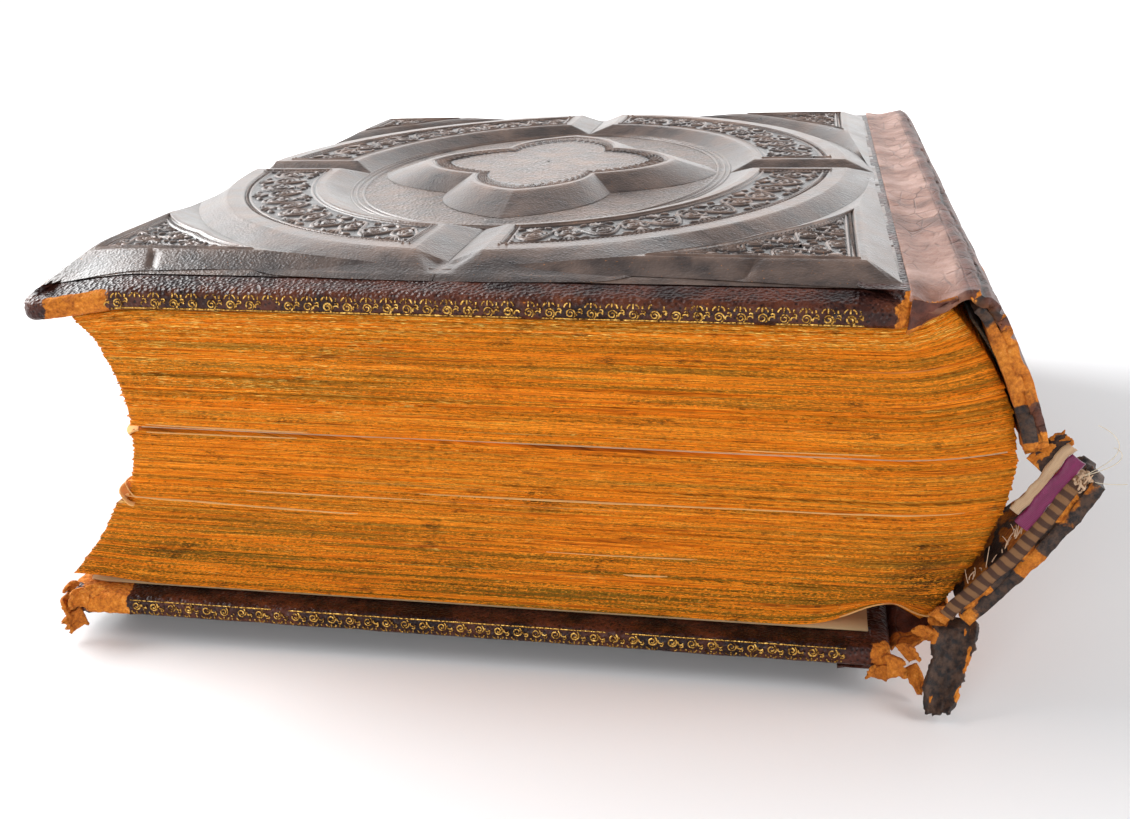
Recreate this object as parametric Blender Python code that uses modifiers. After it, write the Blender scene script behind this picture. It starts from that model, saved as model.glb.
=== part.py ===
"""Large family bible in relief-moulded leather boards, with a spine that has broken lengthwise.

Every sub-part is its own named object. Frame: +X to the spine, -X to the fore-edge, -Y to the tail edge,
+Z up; the origin lies on the flat face that the closed book rests on. Lengths below are in millimetres
and turned into metres by MM.
"""
import math

import bmesh
import bpy

MM = 0.001
GAP = 0.3                     # space kept between pieces that touch on the real book

# boards
BOARD_WIDTH = 235.0
BOARD_HEIGHT = 334.0
LOWER_INNER_Z = 12.4          # height of the lower board's inner face
UPPER_INNER_Z = 97.3          # height of the upper board's inner face
RIM_LEVEL = 5.8               # levels are measured outwards from a board's inner face
FIELD_LEVEL = 9.0
PANEL_LEVEL = 12.4
UPPER_CENTRE_LEVEL = 13.9
RIM_INSET = 12.0              # the border band slopes up from the rim to the field
PASTEDOWN_THICKNESS = 0.4
SKIN = 1.0                    # leather thickness on the boards
CORE_LEVELS = (0.7, 4.5)
PAD_LEVELS = (4.8, 7.7)
PAD_INSET = 16.0
PASTEDOWN_INSET = 4.0
EDGE_CHAMFER = 1.5
RELIEF_MARGIN = (3.5, 13.0)    # no relief comes nearer to the board's sides and ends

# relief panels
RING_CENTRE = (-4.0, 4.4)
RING_INNER_AXES = (76.0, 111.4)
RING_OUTER_AXES = (108.5, 144.5)
BEVEL_RUN = 7.0
CHANNEL_HALF_WIDTH = 9.4
CHANNEL_RUN = 7.0
RING_STEPS = 12
CORNER_INSET = (12.0, 21.0)   # from the board's sides to a corner panel's top face
CORNER_GAP = 17.0             # from the ring's top face to a corner panel's top face
CENTRE = (-3.0, 4.8)
LOBE_NOTCH = (21.3, 30.5)
SIDE_LOBE = (12.85, 31.65)    # centre offset and radius of the left and right lobes
END_LOBE = (-1.77, 40.5, 25.3)  # arc centre and radius of each half of a pointed end lobe
LOBE_TIP = 65.7
CENTRE_BEVEL_SCALE = 1.28
ARC_STEPS = 8

# text block
BLOCK_NEAR_Y = -160.0
BLOCK_FAR_Y = 160.0
LEAF_BOTTOM_Z = 13.8
LEAF_TOP_Z = 96.2
SHOULDER_Z = (15.8, 102.0)    # heights of the lowest and highest leaf at the spine
SHOULDER_START_X = 112.0
SPINE_X = 124.8
SPINE_BULGE = 20.6
SPINE_MIDDLE_Z = 62.0
SPINE_BELOW = (46.0, 1.6)     # reach and roundness of the bulge below its middle, then above it
SPINE_ABOVE = (41.0, 2.0)
FORE_EDGE_X = -92.3
FORE_EDGE_DEPTH = (20.7, 14.0)  # how far the lowest and highest leaf stand proud of the waist
FORE_EDGE_WAIST = 0.56
LOWER_SECTIONS = (0.0, 0.14, 0.30, 0.44, 0.575)
UPPER_SECTIONS = (0.59, 0.72, 0.86, 1.0)
STEP_SECTIONS = 2             # the lowest sections stand further out at the fore-edge
STEP = 3.0
LEAF_STEPS = 14
EDGE_STEPS = 6
TAPE_YS = (-105.0, 0.0, 105.0)
TAPE_WIDTH = 16.0
TAPE_OFFSETS = (0.3, 0.8)
LINING_OFFSETS = (1.1, 1.7)
LINING_HALF_LENGTH = 152.0
LINING_HEIGHTS = {"lower": (18.0, 63.5), "upper": (67.8, 96.0)}
LINING_STEPS = 12
TAPE_MARGIN = 1.0

# endpapers and the leaf that has slipped in the break
LOWER_FLYLEAF_Z = (12.9, 13.5)
UPPER_FLYLEAF_Z = (96.5, 96.9)
UPPER_FLYLEAF_INDENT = 6.0
ENDPAPER_MARGIN = 1.0
SLIPPED_LEAF_THICKNESS = 0.3
SLIPPED_LEAF_PROUD = 3.5
SLIPPED_LEAF_SHORT = 20.0

# spine leather, upper half: outer line from the joint down to the break
SPINE_NEAR_Y = -166.5
SPINE_FAR_Y = 166.5
SHELL_LINE = ((129.4, 107.3), (132.6, 107.9), (136.3, 105.0), (140.6, 98.6), (145.6, 88.6),
              (149.3, 78.8), (151.8, 69.6))
LEATHER_THICKNESS = 1.8
LINER_OFFSETS = (2.1, 4.1)
JOINT_LINE = ((118.1, 104.2), (120.5, 103.6), (123.5, 104.6), (126.5, 106.4), (129.0, 107.3))
JOINT_THICKNESS = 1.2

# spine leather, lower half: a straight flap leaning outwards from the lower joint
FLAP_FOOT = (136.5, 20.6)
FLAP_TIP = (165.6, 60.0)
TONGUE_FAR_Y = -143.0         # the flap is tall only at the tail end
TEAR_FAR_Y = -118.0
STRIP_HEIGHT = 17.0           # height of what is left along the rest of the spine
HEADBAND_RUN = (9.0, 44.0)
HEADBAND_OFFSETS = (4.4, 7.4)
HEADBAND_DEPTH = 5.0
SILK_RUN = (24.0, 46.0)
SILK_OFFSETS = (7.7, 9.3)
CORD_RUN = (45.0, 51.0)
FLAP_LINER_FOOT = 2.0

# the lower joint's leather, and the scrap that hangs from its tail end: lines of y and z
LOWER_JOINT_LINE = ((118.0, 9.4), (123.0, 9.8), (128.0, 12.0), (132.5, 16.0))
LOWER_JOINT_NEAR_Y = -150.0
SCRAP_LINE = ((-161.0, 17.6), (-165.0, 16.4), (-169.5, 11.5), (-174.0, 5.0), (-180.0, 1.6))
SCRAP_X = 130.2
SCRAP_HALF_WIDTH = 3.6
SCRAP_THICKNESS = 1.4

BOARD_HINGE = (118.3, 103.6)
LEAVES_HINGE = (147.8, 66.6)
SHELL_HINGE = (131.0, 103.6)
FLAP_HINGE = (134.6, 18.6)

MATERIALS = {
    "board_leather": ((0.16, 0.13, 0.13), 0.42),
    "spine_leather": ((0.36, 0.25, 0.22), 0.62),
    "torn_leather": ((0.55, 0.25, 0.06), 0.9),
    "millboard": ((0.42, 0.27, 0.13), 0.9),
    "endpaper": ((0.56, 0.41, 0.24), 0.85),
    "gilt_leaves": ((0.64, 0.30, 0.06), 0.45),
    "lining_cloth": ((0.62, 0.52, 0.38), 0.95),
    "linen_tape": ((0.70, 0.62, 0.48), 0.95),
    "headband": ((0.42, 0.22, 0.12), 0.9),
    "silk": ((0.36, 0.02, 0.16), 0.5),
}


def collection_for(name):
    """A new collection in the scene."""
    made = bpy.data.collections.new(name)
    bpy.context.scene.collection.children.link(made)
    return made


def material_for(slot):
    """The slot's Principled material, made once."""
    if slot in bpy.data.materials:
        return bpy.data.materials[slot]
    colour, roughness = MATERIALS[slot]
    made = bpy.data.materials.new(slot)
    made.use_nodes = True
    shader = made.node_tree.nodes["Principled BSDF"]
    shader.inputs["Base Color"].default_value = (*colour, 1.0)
    shader.inputs["Roughness"].default_value = roughness
    shader.inputs["Metallic"].default_value = 0.0
    return made


def place(name, data, slot, parent):
    """An object in the book's collection, with its material, under its body's empty."""
    made = bpy.data.objects.new(name, data)
    made.data.materials.append(material_for(slot))
    BOOK.objects.link(made)
    made.parent = parent
    made.matrix_parent_inverse = parent.matrix_basis.inverted()
    return made


def body_empty(name, x, z):
    """An empty on a body's joint axis."""
    made = bpy.data.objects.new(name, None)
    made.location = (x * MM, 0.0, z * MM)
    BOOK.objects.link(made)
    return made


def flat_outline(name, points, half_thickness):
    """A filled 2D curve through the points, extruded both ways."""
    curve = bpy.data.curves.new(name, "CURVE")
    curve.dimensions = "2D"
    curve.fill_mode = "BOTH"
    curve.extrude = half_thickness * MM
    spline = curve.splines.new("POLY")
    spline.points.add(len(points) - 1)
    for spot, (u, v) in zip(spline.points, points):
        spot.co = (u * MM, v * MM, 0.0, 1.0)
    spline.use_cyclic_u = True
    return curve


def across(name, points, near_y, far_y, slot, parent):
    """A solid with the same X-Z outline all along Y."""
    made = place(name, flat_outline(name, points, (far_y - near_y) / 2), slot, parent)
    made.rotation_euler = (math.pi / 2, 0.0, 0.0)
    made.location = (0.0, (near_y + far_y) / 2 * MM, 0.0)
    return made


def slab(name, low, high, slot, parent, bevel=0.0):
    """A box between two corners, with its edges rounded if asked."""
    mesh = bpy.data.meshes.new(name)
    form = bmesh.new()
    bmesh.ops.create_cube(form, size=1.0)
    size = [(b - a) * MM for a, b in zip(low, high)]
    bmesh.ops.scale(form, vec=size, verts=form.verts)
    form.to_mesh(mesh)
    form.free()
    made = place(name, mesh, slot, parent)
    made.location = [(a + b) / 2 * MM for a, b in zip(low, high)]
    if bevel:
        rounding = made.modifiers.new("rounding", "BEVEL")
        rounding.width = bevel * MM
        rounding.segments = 2
    return made


def loft(name, rings, slot, parent):
    """A closed solid through rings of points, each ring (outline, height), capped at both ends."""
    mesh = bpy.data.meshes.new(name)
    form = bmesh.new()
    loops = [[form.verts.new((x * MM, y * MM, z * MM)) for x, y in outline] for outline, z in rings]
    form.faces.new(loops[0])
    form.faces.new(loops[-1])
    for lower, upper in zip(loops, loops[1:]):
        for k, corner in enumerate(lower):
            after = (k + 1) % len(lower)
            form.faces.new((corner, lower[after], upper[after], upper[k]))
    bmesh.ops.recalc_face_normals(form, faces=form.faces)
    bmesh.ops.triangulate(form, faces=form.faces)
    form.to_mesh(mesh)
    form.free()
    return place(name, mesh, slot, parent)


def cut(solid, low, high):
    """Take a box out of a solid with a Boolean modifier."""
    mesh = bpy.data.meshes.new(solid.name + "_cutter")
    form = bmesh.new()
    bmesh.ops.create_cube(form, size=1.0)
    bmesh.ops.scale(form, vec=[(b - a) * MM for a, b in zip(low, high)], verts=form.verts)
    form.to_mesh(mesh)
    form.free()
    cutter = bpy.data.objects.new(mesh.name, mesh)
    cutter.location = [(a + b) / 2 * MM for a, b in zip(low, high)]
    cutter.hide_render = True
    cutter.display_type = "WIRE"
    CUTTERS.objects.link(cutter)
    step = solid.modifiers.new("hollow", "BOOLEAN")
    step.operation = "DIFFERENCE"
    step.solver = "EXACT"
    step.object = cutter


# boards

def rectangle(inset):
    """The board's outline, drawn in by inset, anticlockwise from its near left corner."""
    x = BOARD_WIDTH / 2 - inset
    y = BOARD_HEIGHT / 2 - inset
    return [(-x, -y), (x, -y), (x, y), (-x, y)]


def box_between(inset, level_low, level_high, inner_z, outward):
    """Corners of a box inside a board, from an inset and two levels."""
    x = BOARD_WIDTH / 2 - inset
    y = BOARD_HEIGHT / 2 - inset
    heights = sorted((inner_z + outward * level_low, inner_z + outward * level_high))
    return (-x, -y, heights[0]), (x, y, heights[1])


def ring_point(angle, grow, axes):
    """A point of the ring's ellipse, its half axes grown by grow."""
    return (RING_CENTRE[0] + (axes[0] + grow) * math.cos(angle),
            RING_CENTRE[1] + (axes[1] + grow) * math.sin(angle))


def sector_outline(quarter, spread):
    """One quarter of the ring between two channels; spread is how far the bevels have run out."""
    outline = []
    for axes, grow, forward in ((RING_INNER_AXES, -spread, True), (RING_OUTER_AXES, spread, False)):
        gap = CHANNEL_HALF_WIDTH - CHANNEL_RUN * spread / BEVEL_RUN
        start = quarter * math.pi / 2
        on_axis = (axes[1], axes[0]) if quarter % 2 == 0 else (axes[0], axes[1])
        first = start + math.asin(gap / on_axis[0])
        last = start + math.pi / 2 - math.asin(gap / on_axis[1])
        angles = [first + (last - first) * k / RING_STEPS for k in range(RING_STEPS + 1)]
        if not forward:
            angles.reverse()
        outline += [ring_point(angle, grow, axes) for angle in angles]
    return outline


def clipped(points, limit_x, limit_y):
    """Points kept inside a rectangle about the board's centre."""
    return [(max(-limit_x, min(limit_x, x)), max(-limit_y, min(limit_y, y))) for x, y in points]


def corner_outline(side_x, side_y, spread):
    """A three-sided corner panel: two straight sides and one that follows the ring."""
    corner_x = side_x * (BOARD_WIDTH / 2 - CORNER_INSET[0] + spread * 0.6)
    corner_y = side_y * (BOARD_HEIGHT / 2 - CORNER_INSET[1] + spread)
    axes = [axis + CORNER_GAP - spread for axis in RING_OUTER_AXES]
    reach_x = (corner_x - RING_CENTRE[0]) / axes[0]
    reach_y = (corner_y - RING_CENTRE[1]) / axes[1]
    first = math.atan2(side_y * math.sqrt(max(0.0, 1 - reach_x ** 2)), reach_x)
    last = math.atan2(reach_y, side_x * math.sqrt(max(0.0, 1 - reach_y ** 2)))
    curve = []
    for k in range(ARC_STEPS + 1):
        angle = first + (last - first) * k / ARC_STEPS
        curve.append((RING_CENTRE[0] + axes[0] * math.cos(angle), RING_CENTRE[1] + axes[1] * math.sin(angle)))
    return [(corner_x, corner_y)] + curve


def centre_outline(scale):
    """The four-lobed centre panel, round lobes left and right and pointed lobes at the ends."""
    notch_x, notch_y = LOBE_NOTCH
    side_x, side_r = SIDE_LOBE
    end_x, end_y, end_r = END_LOBE
    quarter = []
    side_end = math.atan2(notch_y, notch_x - side_x)
    for k in range(ARC_STEPS + 1):
        angle = side_end * k / ARC_STEPS
        quarter.append((side_x + side_r * math.cos(angle), side_r * math.sin(angle)))
    first = math.atan2(notch_y - end_y, notch_x - end_x)
    last = math.atan2(LOBE_TIP - end_y, -end_x)
    for k in range(1, ARC_STEPS + 1):
        angle = first + (last - first) * k / ARC_STEPS
        quarter.append((end_x + end_r * math.cos(angle), end_y + end_r * math.sin(angle)))
    quarter[-1] = (0.0, LOBE_TIP)
    half = quarter + [(-x, y) for x, y in reversed(quarter[:-1])]
    whole = half + [(x, -y) for x, y in reversed(half[1:-1])]
    return [(CENTRE[0] + x * scale, CENTRE[1] + y * scale) for x, y in whole]


def make_board(side, inner_z, outward, centre_level, parent):
    """One board: pastedown, core, built-up pad, leather and its nine relief panels."""
    def height(level):
        return inner_z + outward * level

    slab(side + "_pastedown", *box_between(PASTEDOWN_INSET, 0.0, PASTEDOWN_THICKNESS, inner_z, outward),
         "endpaper", parent)
    slab(side + "_board_core", *box_between(SKIN + GAP, *CORE_LEVELS, inner_z, outward),
         "millboard", parent)
    slab(side + "_field_pad", *box_between(PAD_INSET + GAP, *PAD_LEVELS, inner_z, outward),
         "millboard", parent)
    leather = loft(side + "_cover_leather",
                   [(rectangle(0.0), height(CORE_LEVELS[0])),
                    (rectangle(0.0), height(RIM_LEVEL - EDGE_CHAMFER)),
                    (rectangle(EDGE_CHAMFER), height(RIM_LEVEL)),
                    (rectangle(RIM_INSET), height(FIELD_LEVEL))],
                   "board_leather", parent)
    cut(leather, *box_between(SKIN, -SKIN, CORE_LEVELS[1] + GAP, inner_z, outward))
    cut(leather, *box_between(PAD_INSET, CORE_LEVELS[0], PAD_LEVELS[1] + GAP, inner_z, outward))
    foot = height(FIELD_LEVEL + GAP)
    top = height(PANEL_LEVEL)
    limits = (BOARD_WIDTH / 2 - RELIEF_MARGIN[0], BOARD_HEIGHT / 2 - RELIEF_MARGIN[1])
    for quarter in range(4):
        rings = [(clipped(sector_outline(quarter, BEVEL_RUN), *limits), foot),
                 (clipped(sector_outline(quarter, 0.0), *limits), top)]
        loft(f"{side}_ring_panel_{quarter + 1}", rings, "board_leather", parent)
    corners = ((1, 1), (-1, 1), (-1, -1), (1, -1))
    for number, (side_x, side_y) in enumerate(corners, 1):
        rings = [(corner_outline(side_x, side_y, BEVEL_RUN), foot),
                 (corner_outline(side_x, side_y, 0.0), top)]
        loft(f"{side}_corner_panel_{number}", rings, "board_leather", parent)
    loft(side + "_centre_panel",
         [(centre_outline(CENTRE_BEVEL_SCALE), foot), (centre_outline(1.0), height(centre_level))],
         "board_leather", parent)


# text block

def spine_x(z, offset=0.0):
    """How far the leaves' spine edge bulges at a height."""
    reach, roundness = SPINE_ABOVE if z > SPINE_MIDDLE_Z else SPINE_BELOW
    return SPINE_X + SPINE_BULGE * (1 - (abs(z - SPINE_MIDDLE_Z) / reach) ** roundness) + offset


def fore_edge_x(share):
    """The hollow fore-edge: deepest at the waist, proud at the top and bottom leaf."""
    below = share < FORE_EDGE_WAIST
    depth = FORE_EDGE_DEPTH[0] if below else FORE_EDGE_DEPTH[1]
    span = FORE_EDGE_WAIST if below else 1 - FORE_EDGE_WAIST
    return FORE_EDGE_X - depth * ((share - FORE_EDGE_WAIST) / span) ** 2


def leaf_height(x, share):
    """The height of a leaf: flat, then flaring to the shoulder near the spine."""
    flat = LEAF_BOTTOM_Z + (LEAF_TOP_Z - LEAF_BOTTOM_Z) * share
    shoulder = SHOULDER_Z[0] + (SHOULDER_Z[1] - SHOULDER_Z[0]) * share
    along = max(0.0, (x - SHOULDER_START_X) / (spine_x(shoulder) - SHOULDER_START_X))
    return flat + (shoulder - flat) * along ** 2


def leaf_line(share, lift, step):
    """A leaf's line from the fore-edge to the spine, moved up or down by lift."""
    shoulder = SHOULDER_Z[0] + (SHOULDER_Z[1] - SHOULDER_Z[0]) * share
    first = fore_edge_x(share) - step
    last = spine_x(shoulder)
    line = []
    for k in range(LEAF_STEPS + 1):
        x = first + (last - first) * (k / LEAF_STEPS) ** 0.6
        line.append((x, leaf_height(x, share) + lift))
    return line


def section_outline(low, high, step):
    """A stack of leaves between two shares of the block's thickness."""
    lower = leaf_line(low, GAP / 2, step)
    upper = leaf_line(high, -GAP / 2, step)
    spine = []
    edge = []
    for k in range(1, EDGE_STEPS):
        share = low + (high - low) * k / EDGE_STEPS
        z = SHOULDER_Z[0] + (SHOULDER_Z[1] - SHOULDER_Z[0]) * share
        spine.append((spine_x(z), z))
        edge.append((fore_edge_x(share) - step, LEAF_BOTTOM_Z + (LEAF_TOP_Z - LEAF_BOTTOM_Z) * share))
    return lower + spine + upper[::-1] + edge[::-1]


def spine_band(low, high, offsets):
    """A strip that follows the leaves' spine edge between two heights."""
    heights = [low + (high - low) * k / LINING_STEPS for k in range(LINING_STEPS + 1)]
    inner = [(spine_x(z, offsets[0]), z) for z in heights]
    outer = [(spine_x(z, offsets[1]), z) for z in heights]
    return inner + outer[::-1]


def make_leaves(names, shares, parent):
    """The stacks of leaves of one half of the block."""
    for name, low, high in zip(names, shares, shares[1:]):
        step = STEP if high <= LOWER_SECTIONS[STEP_SECTIONS] else 0.0
        across(name, section_outline(low, high, step), BLOCK_NEAR_Y, BLOCK_FAR_Y, "gilt_leaves", parent)


def make_spine_lining(side, parent):
    """The cloth on the back of the leaves and the tapes that they are sewn on."""
    low, high = LINING_HEIGHTS[side]
    across(side + "_spine_lining", spine_band(low, high, LINING_OFFSETS),
           -LINING_HALF_LENGTH, LINING_HALF_LENGTH, "lining_cloth", parent)
    for number, y in enumerate(TAPE_YS, 1):
        across(f"{side}_sewing_tape_{number}", spine_band(low + TAPE_MARGIN, high - TAPE_MARGIN, TAPE_OFFSETS),
               y - TAPE_WIDTH / 2, y + TAPE_WIDTH / 2, "linen_tape", parent)


# spine leather

def offset_line(line, distance):
    """A line moved to its right-hand side, as seen going along it."""
    moved = []
    for k, (x, z) in enumerate(line):
        before = line[max(0, k - 1)]
        after = line[min(len(line) - 1, k + 1)]
        run = (after[0] - before[0], after[1] - before[1])
        length = math.hypot(*run)
        moved.append((x + run[1] / length * distance, z - run[0] / length * distance))
    return moved


def layer(line, low, high):
    """The outline of a layer between two depths under a line."""
    return offset_line(line, low) + offset_line(line, high)[::-1]


def flap_point(run, depth):
    """A point of the lower flap: run up from its foot, depth inwards from its outer face."""
    length = math.hypot(FLAP_TIP[0] - FLAP_FOOT[0], FLAP_TIP[1] - FLAP_FOOT[1])
    along = ((FLAP_TIP[0] - FLAP_FOOT[0]) / length, (FLAP_TIP[1] - FLAP_FOOT[1]) / length)
    return (FLAP_FOOT[0] + along[0] * run - along[1] * depth,
            FLAP_FOOT[1] + along[1] * run + along[0] * depth)


def flap_sheet(name, depths, foot_run, slot, parent):
    """A layer of the lower flap: a tall torn tongue at the tail end and a low strip behind it."""
    length = math.hypot(FLAP_TIP[0] - FLAP_FOOT[0], FLAP_TIP[1] - FLAP_FOOT[1])
    shape = [(foot_run, SPINE_NEAR_Y), (length, SPINE_NEAR_Y), (length, TONGUE_FAR_Y),
             (STRIP_HEIGHT, TEAR_FAR_Y), (STRIP_HEIGHT, SPINE_FAR_Y), (foot_run, SPINE_FAR_Y)]
    sheet = flat_outline(name, [(run, y) for run, y in shape], (depths[1] - depths[0]) / 2)
    made = place(name, sheet, slot, parent)
    slope = math.atan2(FLAP_TIP[1] - FLAP_FOOT[1], FLAP_TIP[0] - FLAP_FOOT[0])
    foot = flap_point(0.0, (depths[0] + depths[1]) / 2)
    made.rotation_euler = (0.0, -slope, 0.0)
    made.location = (foot[0] * MM, 0.0, foot[1] * MM)
    return made


def make_upper_spine(leaves, shell):
    """The upper half of the spine leather with its card liner, and the joint leather beside it."""
    across("upper_spine_leather", layer(SHELL_LINE, 0.0, LEATHER_THICKNESS),
           SPINE_NEAR_Y, SPINE_FAR_Y, "spine_leather", shell)
    across("upper_spine_liner", layer(SHELL_LINE[2:], *LINER_OFFSETS),
           SPINE_NEAR_Y, SPINE_FAR_Y, "torn_leather", shell)
    across("upper_joint_leather", layer(JOINT_LINE, 0.0, JOINT_THICKNESS),
           SPINE_NEAR_Y, SPINE_FAR_Y, "spine_leather", leaves)


def make_lower_spine(flap):
    """The lower half of the spine leather, with the headband, silk and cord still held in its end."""
    flap_sheet("lower_spine_leather", (0.0, LEATHER_THICKNESS), 0.0, "torn_leather", flap)
    flap_sheet("lower_spine_liner", LINER_OFFSETS, FLAP_LINER_FOOT, "millboard", flap)
    for name, run, depths, slot in (("headband", HEADBAND_RUN, HEADBAND_OFFSETS, "headband"),
                                    ("silk_strip", SILK_RUN, SILK_OFFSETS, "silk"),
                                    ("headband_core", CORD_RUN, HEADBAND_OFFSETS, "linen_tape")):
        outline = [flap_point(run[0], depths[0]), flap_point(run[1], depths[0]),
                   flap_point(run[1], depths[1]), flap_point(run[0], depths[1])]
        across(name, outline, SPINE_NEAR_Y, SPINE_NEAR_Y + HEADBAND_DEPTH, slot, flap)


def make_tatters(parent):
    """Loose pieces: the lower joint's leather, the scrap hanging from it and a leaf that slipped."""
    across("lower_joint_leather", layer(LOWER_JOINT_LINE, 0.0, -JOINT_THICKNESS),
           LOWER_JOINT_NEAR_Y, SPINE_FAR_Y, "spine_leather", parent)
    outline = layer(SCRAP_LINE, 0.0, SCRAP_THICKNESS)
    made = place("joint_scrap", flat_outline("joint_scrap", outline, SCRAP_HALF_WIDTH), "torn_leather", parent)
    made.rotation_euler = (math.pi / 2, 0.0, math.pi / 2)
    made.location = (SCRAP_X * MM, 0.0, 0.0)


def make_endpapers(lower, upper):
    """The flyleaves next to each board, and a leaf that has slipped in the break."""
    half = BLOCK_FAR_Y - ENDPAPER_MARGIN
    edge = FORE_EDGE_X - FORE_EDGE_DEPTH[0]
    slab("lower_flyleaf", (edge, -half, LOWER_FLYLEAF_Z[0]), (SHOULDER_START_X, half, LOWER_FLYLEAF_Z[1]),
         "endpaper", lower)
    slab("upper_flyleaf", (edge + UPPER_FLYLEAF_INDENT, -half, UPPER_FLYLEAF_Z[0]),
         (SHOULDER_START_X, half, UPPER_FLYLEAF_Z[1]), "endpaper", upper)
    share = (LOWER_SECTIONS[-1] + UPPER_SECTIONS[0]) / 2
    height = LEAF_BOTTOM_Z + (LEAF_TOP_Z - LEAF_BOTTOM_Z) * share
    slab("slipped_leaf", (FORE_EDGE_X - SLIPPED_LEAF_PROUD, -half, height - SLIPPED_LEAF_THICKNESS / 2),
         (SHOULDER_START_X - SLIPPED_LEAF_SHORT, half, height + SLIPPED_LEAF_THICKNESS / 2), "endpaper", lower)


for old in list(bpy.data.objects):
    bpy.data.objects.remove(old, do_unlink=True)

BOOK = collection_for("bible")
CUTTERS = collection_for("cutters")

lower_book = body_empty("lower_book_body", 0.0, 0.0)
upper_leaves = body_empty("upper_leaves_body", *LEAVES_HINGE)
upper_board = body_empty("upper_board_body", *BOARD_HINGE)
spine_shell = body_empty("upper_spine_shell_body", *SHELL_HINGE)
spine_flap = body_empty("lower_spine_flap_body", *FLAP_HINGE)

make_board("lower", LOWER_INNER_Z, -1, PANEL_LEVEL, lower_book)
make_board("upper", UPPER_INNER_Z, 1, UPPER_CENTRE_LEVEL, upper_board)
make_leaves([f"leaves_{n}" for n in range(1, 5)], LOWER_SECTIONS, lower_book)
make_leaves([f"leaves_{n}" for n in range(5, 8)], UPPER_SECTIONS, upper_leaves)
make_spine_lining("lower", lower_book)
make_spine_lining("upper", upper_leaves)
make_endpapers(lower_book, upper_leaves)
make_upper_spine(upper_leaves, spine_shell)
make_lower_spine(spine_flap)
make_tatters(lower_book)
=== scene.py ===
"""The looks of a large relief-moulded family bible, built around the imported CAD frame.

Lengths are in millimetres unless a name says otherwise, and MM turns them into metres. x runs from the
fore-edge to the spine, y from the tail edge to the head edge, and z up through the thickness.
"""
import math

import bpy
import numpy as np
from mathutils import Matrix, Vector


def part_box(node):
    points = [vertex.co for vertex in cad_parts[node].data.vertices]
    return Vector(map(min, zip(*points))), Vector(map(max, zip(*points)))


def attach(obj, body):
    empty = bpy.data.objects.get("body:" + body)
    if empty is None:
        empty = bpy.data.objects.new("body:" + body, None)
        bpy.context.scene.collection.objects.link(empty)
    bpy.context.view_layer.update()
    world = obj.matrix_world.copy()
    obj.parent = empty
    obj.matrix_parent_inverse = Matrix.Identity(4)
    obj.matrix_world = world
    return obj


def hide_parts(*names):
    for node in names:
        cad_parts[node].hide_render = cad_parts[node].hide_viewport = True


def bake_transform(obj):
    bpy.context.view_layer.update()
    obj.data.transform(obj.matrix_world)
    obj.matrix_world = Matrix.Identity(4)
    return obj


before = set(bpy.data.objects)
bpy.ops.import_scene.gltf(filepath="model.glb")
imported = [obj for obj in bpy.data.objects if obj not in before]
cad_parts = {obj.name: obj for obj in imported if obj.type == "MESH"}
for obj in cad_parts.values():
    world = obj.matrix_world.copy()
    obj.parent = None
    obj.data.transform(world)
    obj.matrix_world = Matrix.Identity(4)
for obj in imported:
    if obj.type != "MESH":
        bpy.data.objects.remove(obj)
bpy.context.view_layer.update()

MM = 0.001


# sizes read from the frame

def span(node, axis):
    """The lowest and highest coordinate of a CAD node along an axis, in millimetres."""
    low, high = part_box(node)
    return low[axis] / MM, high[axis] / MM


BOARD_LEFT, BOARD_RIGHT = span("upper_cover_leather", 0)
BOARD_NEAR, BOARD_FAR = span("upper_cover_leather", 1)
UPPER_INNER = span("upper_pastedown", 2)[0]
LOWER_INNER = span("lower_pastedown", 2)[1]
BLOCK_NEAR, BLOCK_FAR = span("leaves_1", 1)
LEAVES_BOTTOM = span("leaves_1", 2)[0]
SPINE_NEAR, SPINE_FAR = span("upper_spine_leather", 1)
BOARD_WIDTH = BOARD_RIGHT - BOARD_LEFT
BOARD_HEIGHT = BOARD_FAR - BOARD_NEAR


# small numeric helpers

def smooth(low, high, value):
    """0 below low, 1 above high and an S-curve between."""
    share = np.clip((value - low) / (high - low), 0.0, 1.0)
    return share * share * (3 - 2 * share)


def noise(x, y, seed):
    """Smooth value noise from 0 to 1, one cell per unit."""
    size = 64
    lattice = np.random.default_rng(seed).random((size, size))
    x, y = np.broadcast_arrays(np.asarray(x, float), np.asarray(y, float))
    column, row = np.floor(x).astype(int), np.floor(y).astype(int)
    across, along = x - column, y - row
    across, along = across * across * (3 - 2 * across), along * along * (3 - 2 * along)
    corner = [[lattice[(row + j) % size, (column + i) % size] for i in (0, 1)] for j in (0, 1)]
    near = corner[0][0] * (1 - across) + corner[0][1] * across
    far = corner[1][0] * (1 - across) + corner[1][1] * across
    return near * (1 - along) + far * along


def rough_noise(x, y, seed, octaves=4):
    """Several octaves of noise, from 0 to 1."""
    total, weight, height = 0.0, 0.0, 1.0
    for octave in range(octaves):
        total = total + height * noise(x * 2 ** octave, y * 2 ** octave, seed + octave)
        weight += height
        height *= 0.5
    return total / weight


def softened(distance, radius):
    """0 for negative distances and the distance itself beyond, with a rounded turn between."""
    rounded = np.logaddexp(0.0, distance / radius) - math.log(2) * np.exp(-np.abs(distance) / radius)
    return radius * rounded


def bevel_drop(distance, run, depth, radius=0.8):
    """How far a bevelled side has dropped at a distance outside the top edge."""
    slope = depth / run
    drop = slope * softened(distance, radius)
    return depth - softened(depth - drop, 0.25)


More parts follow.
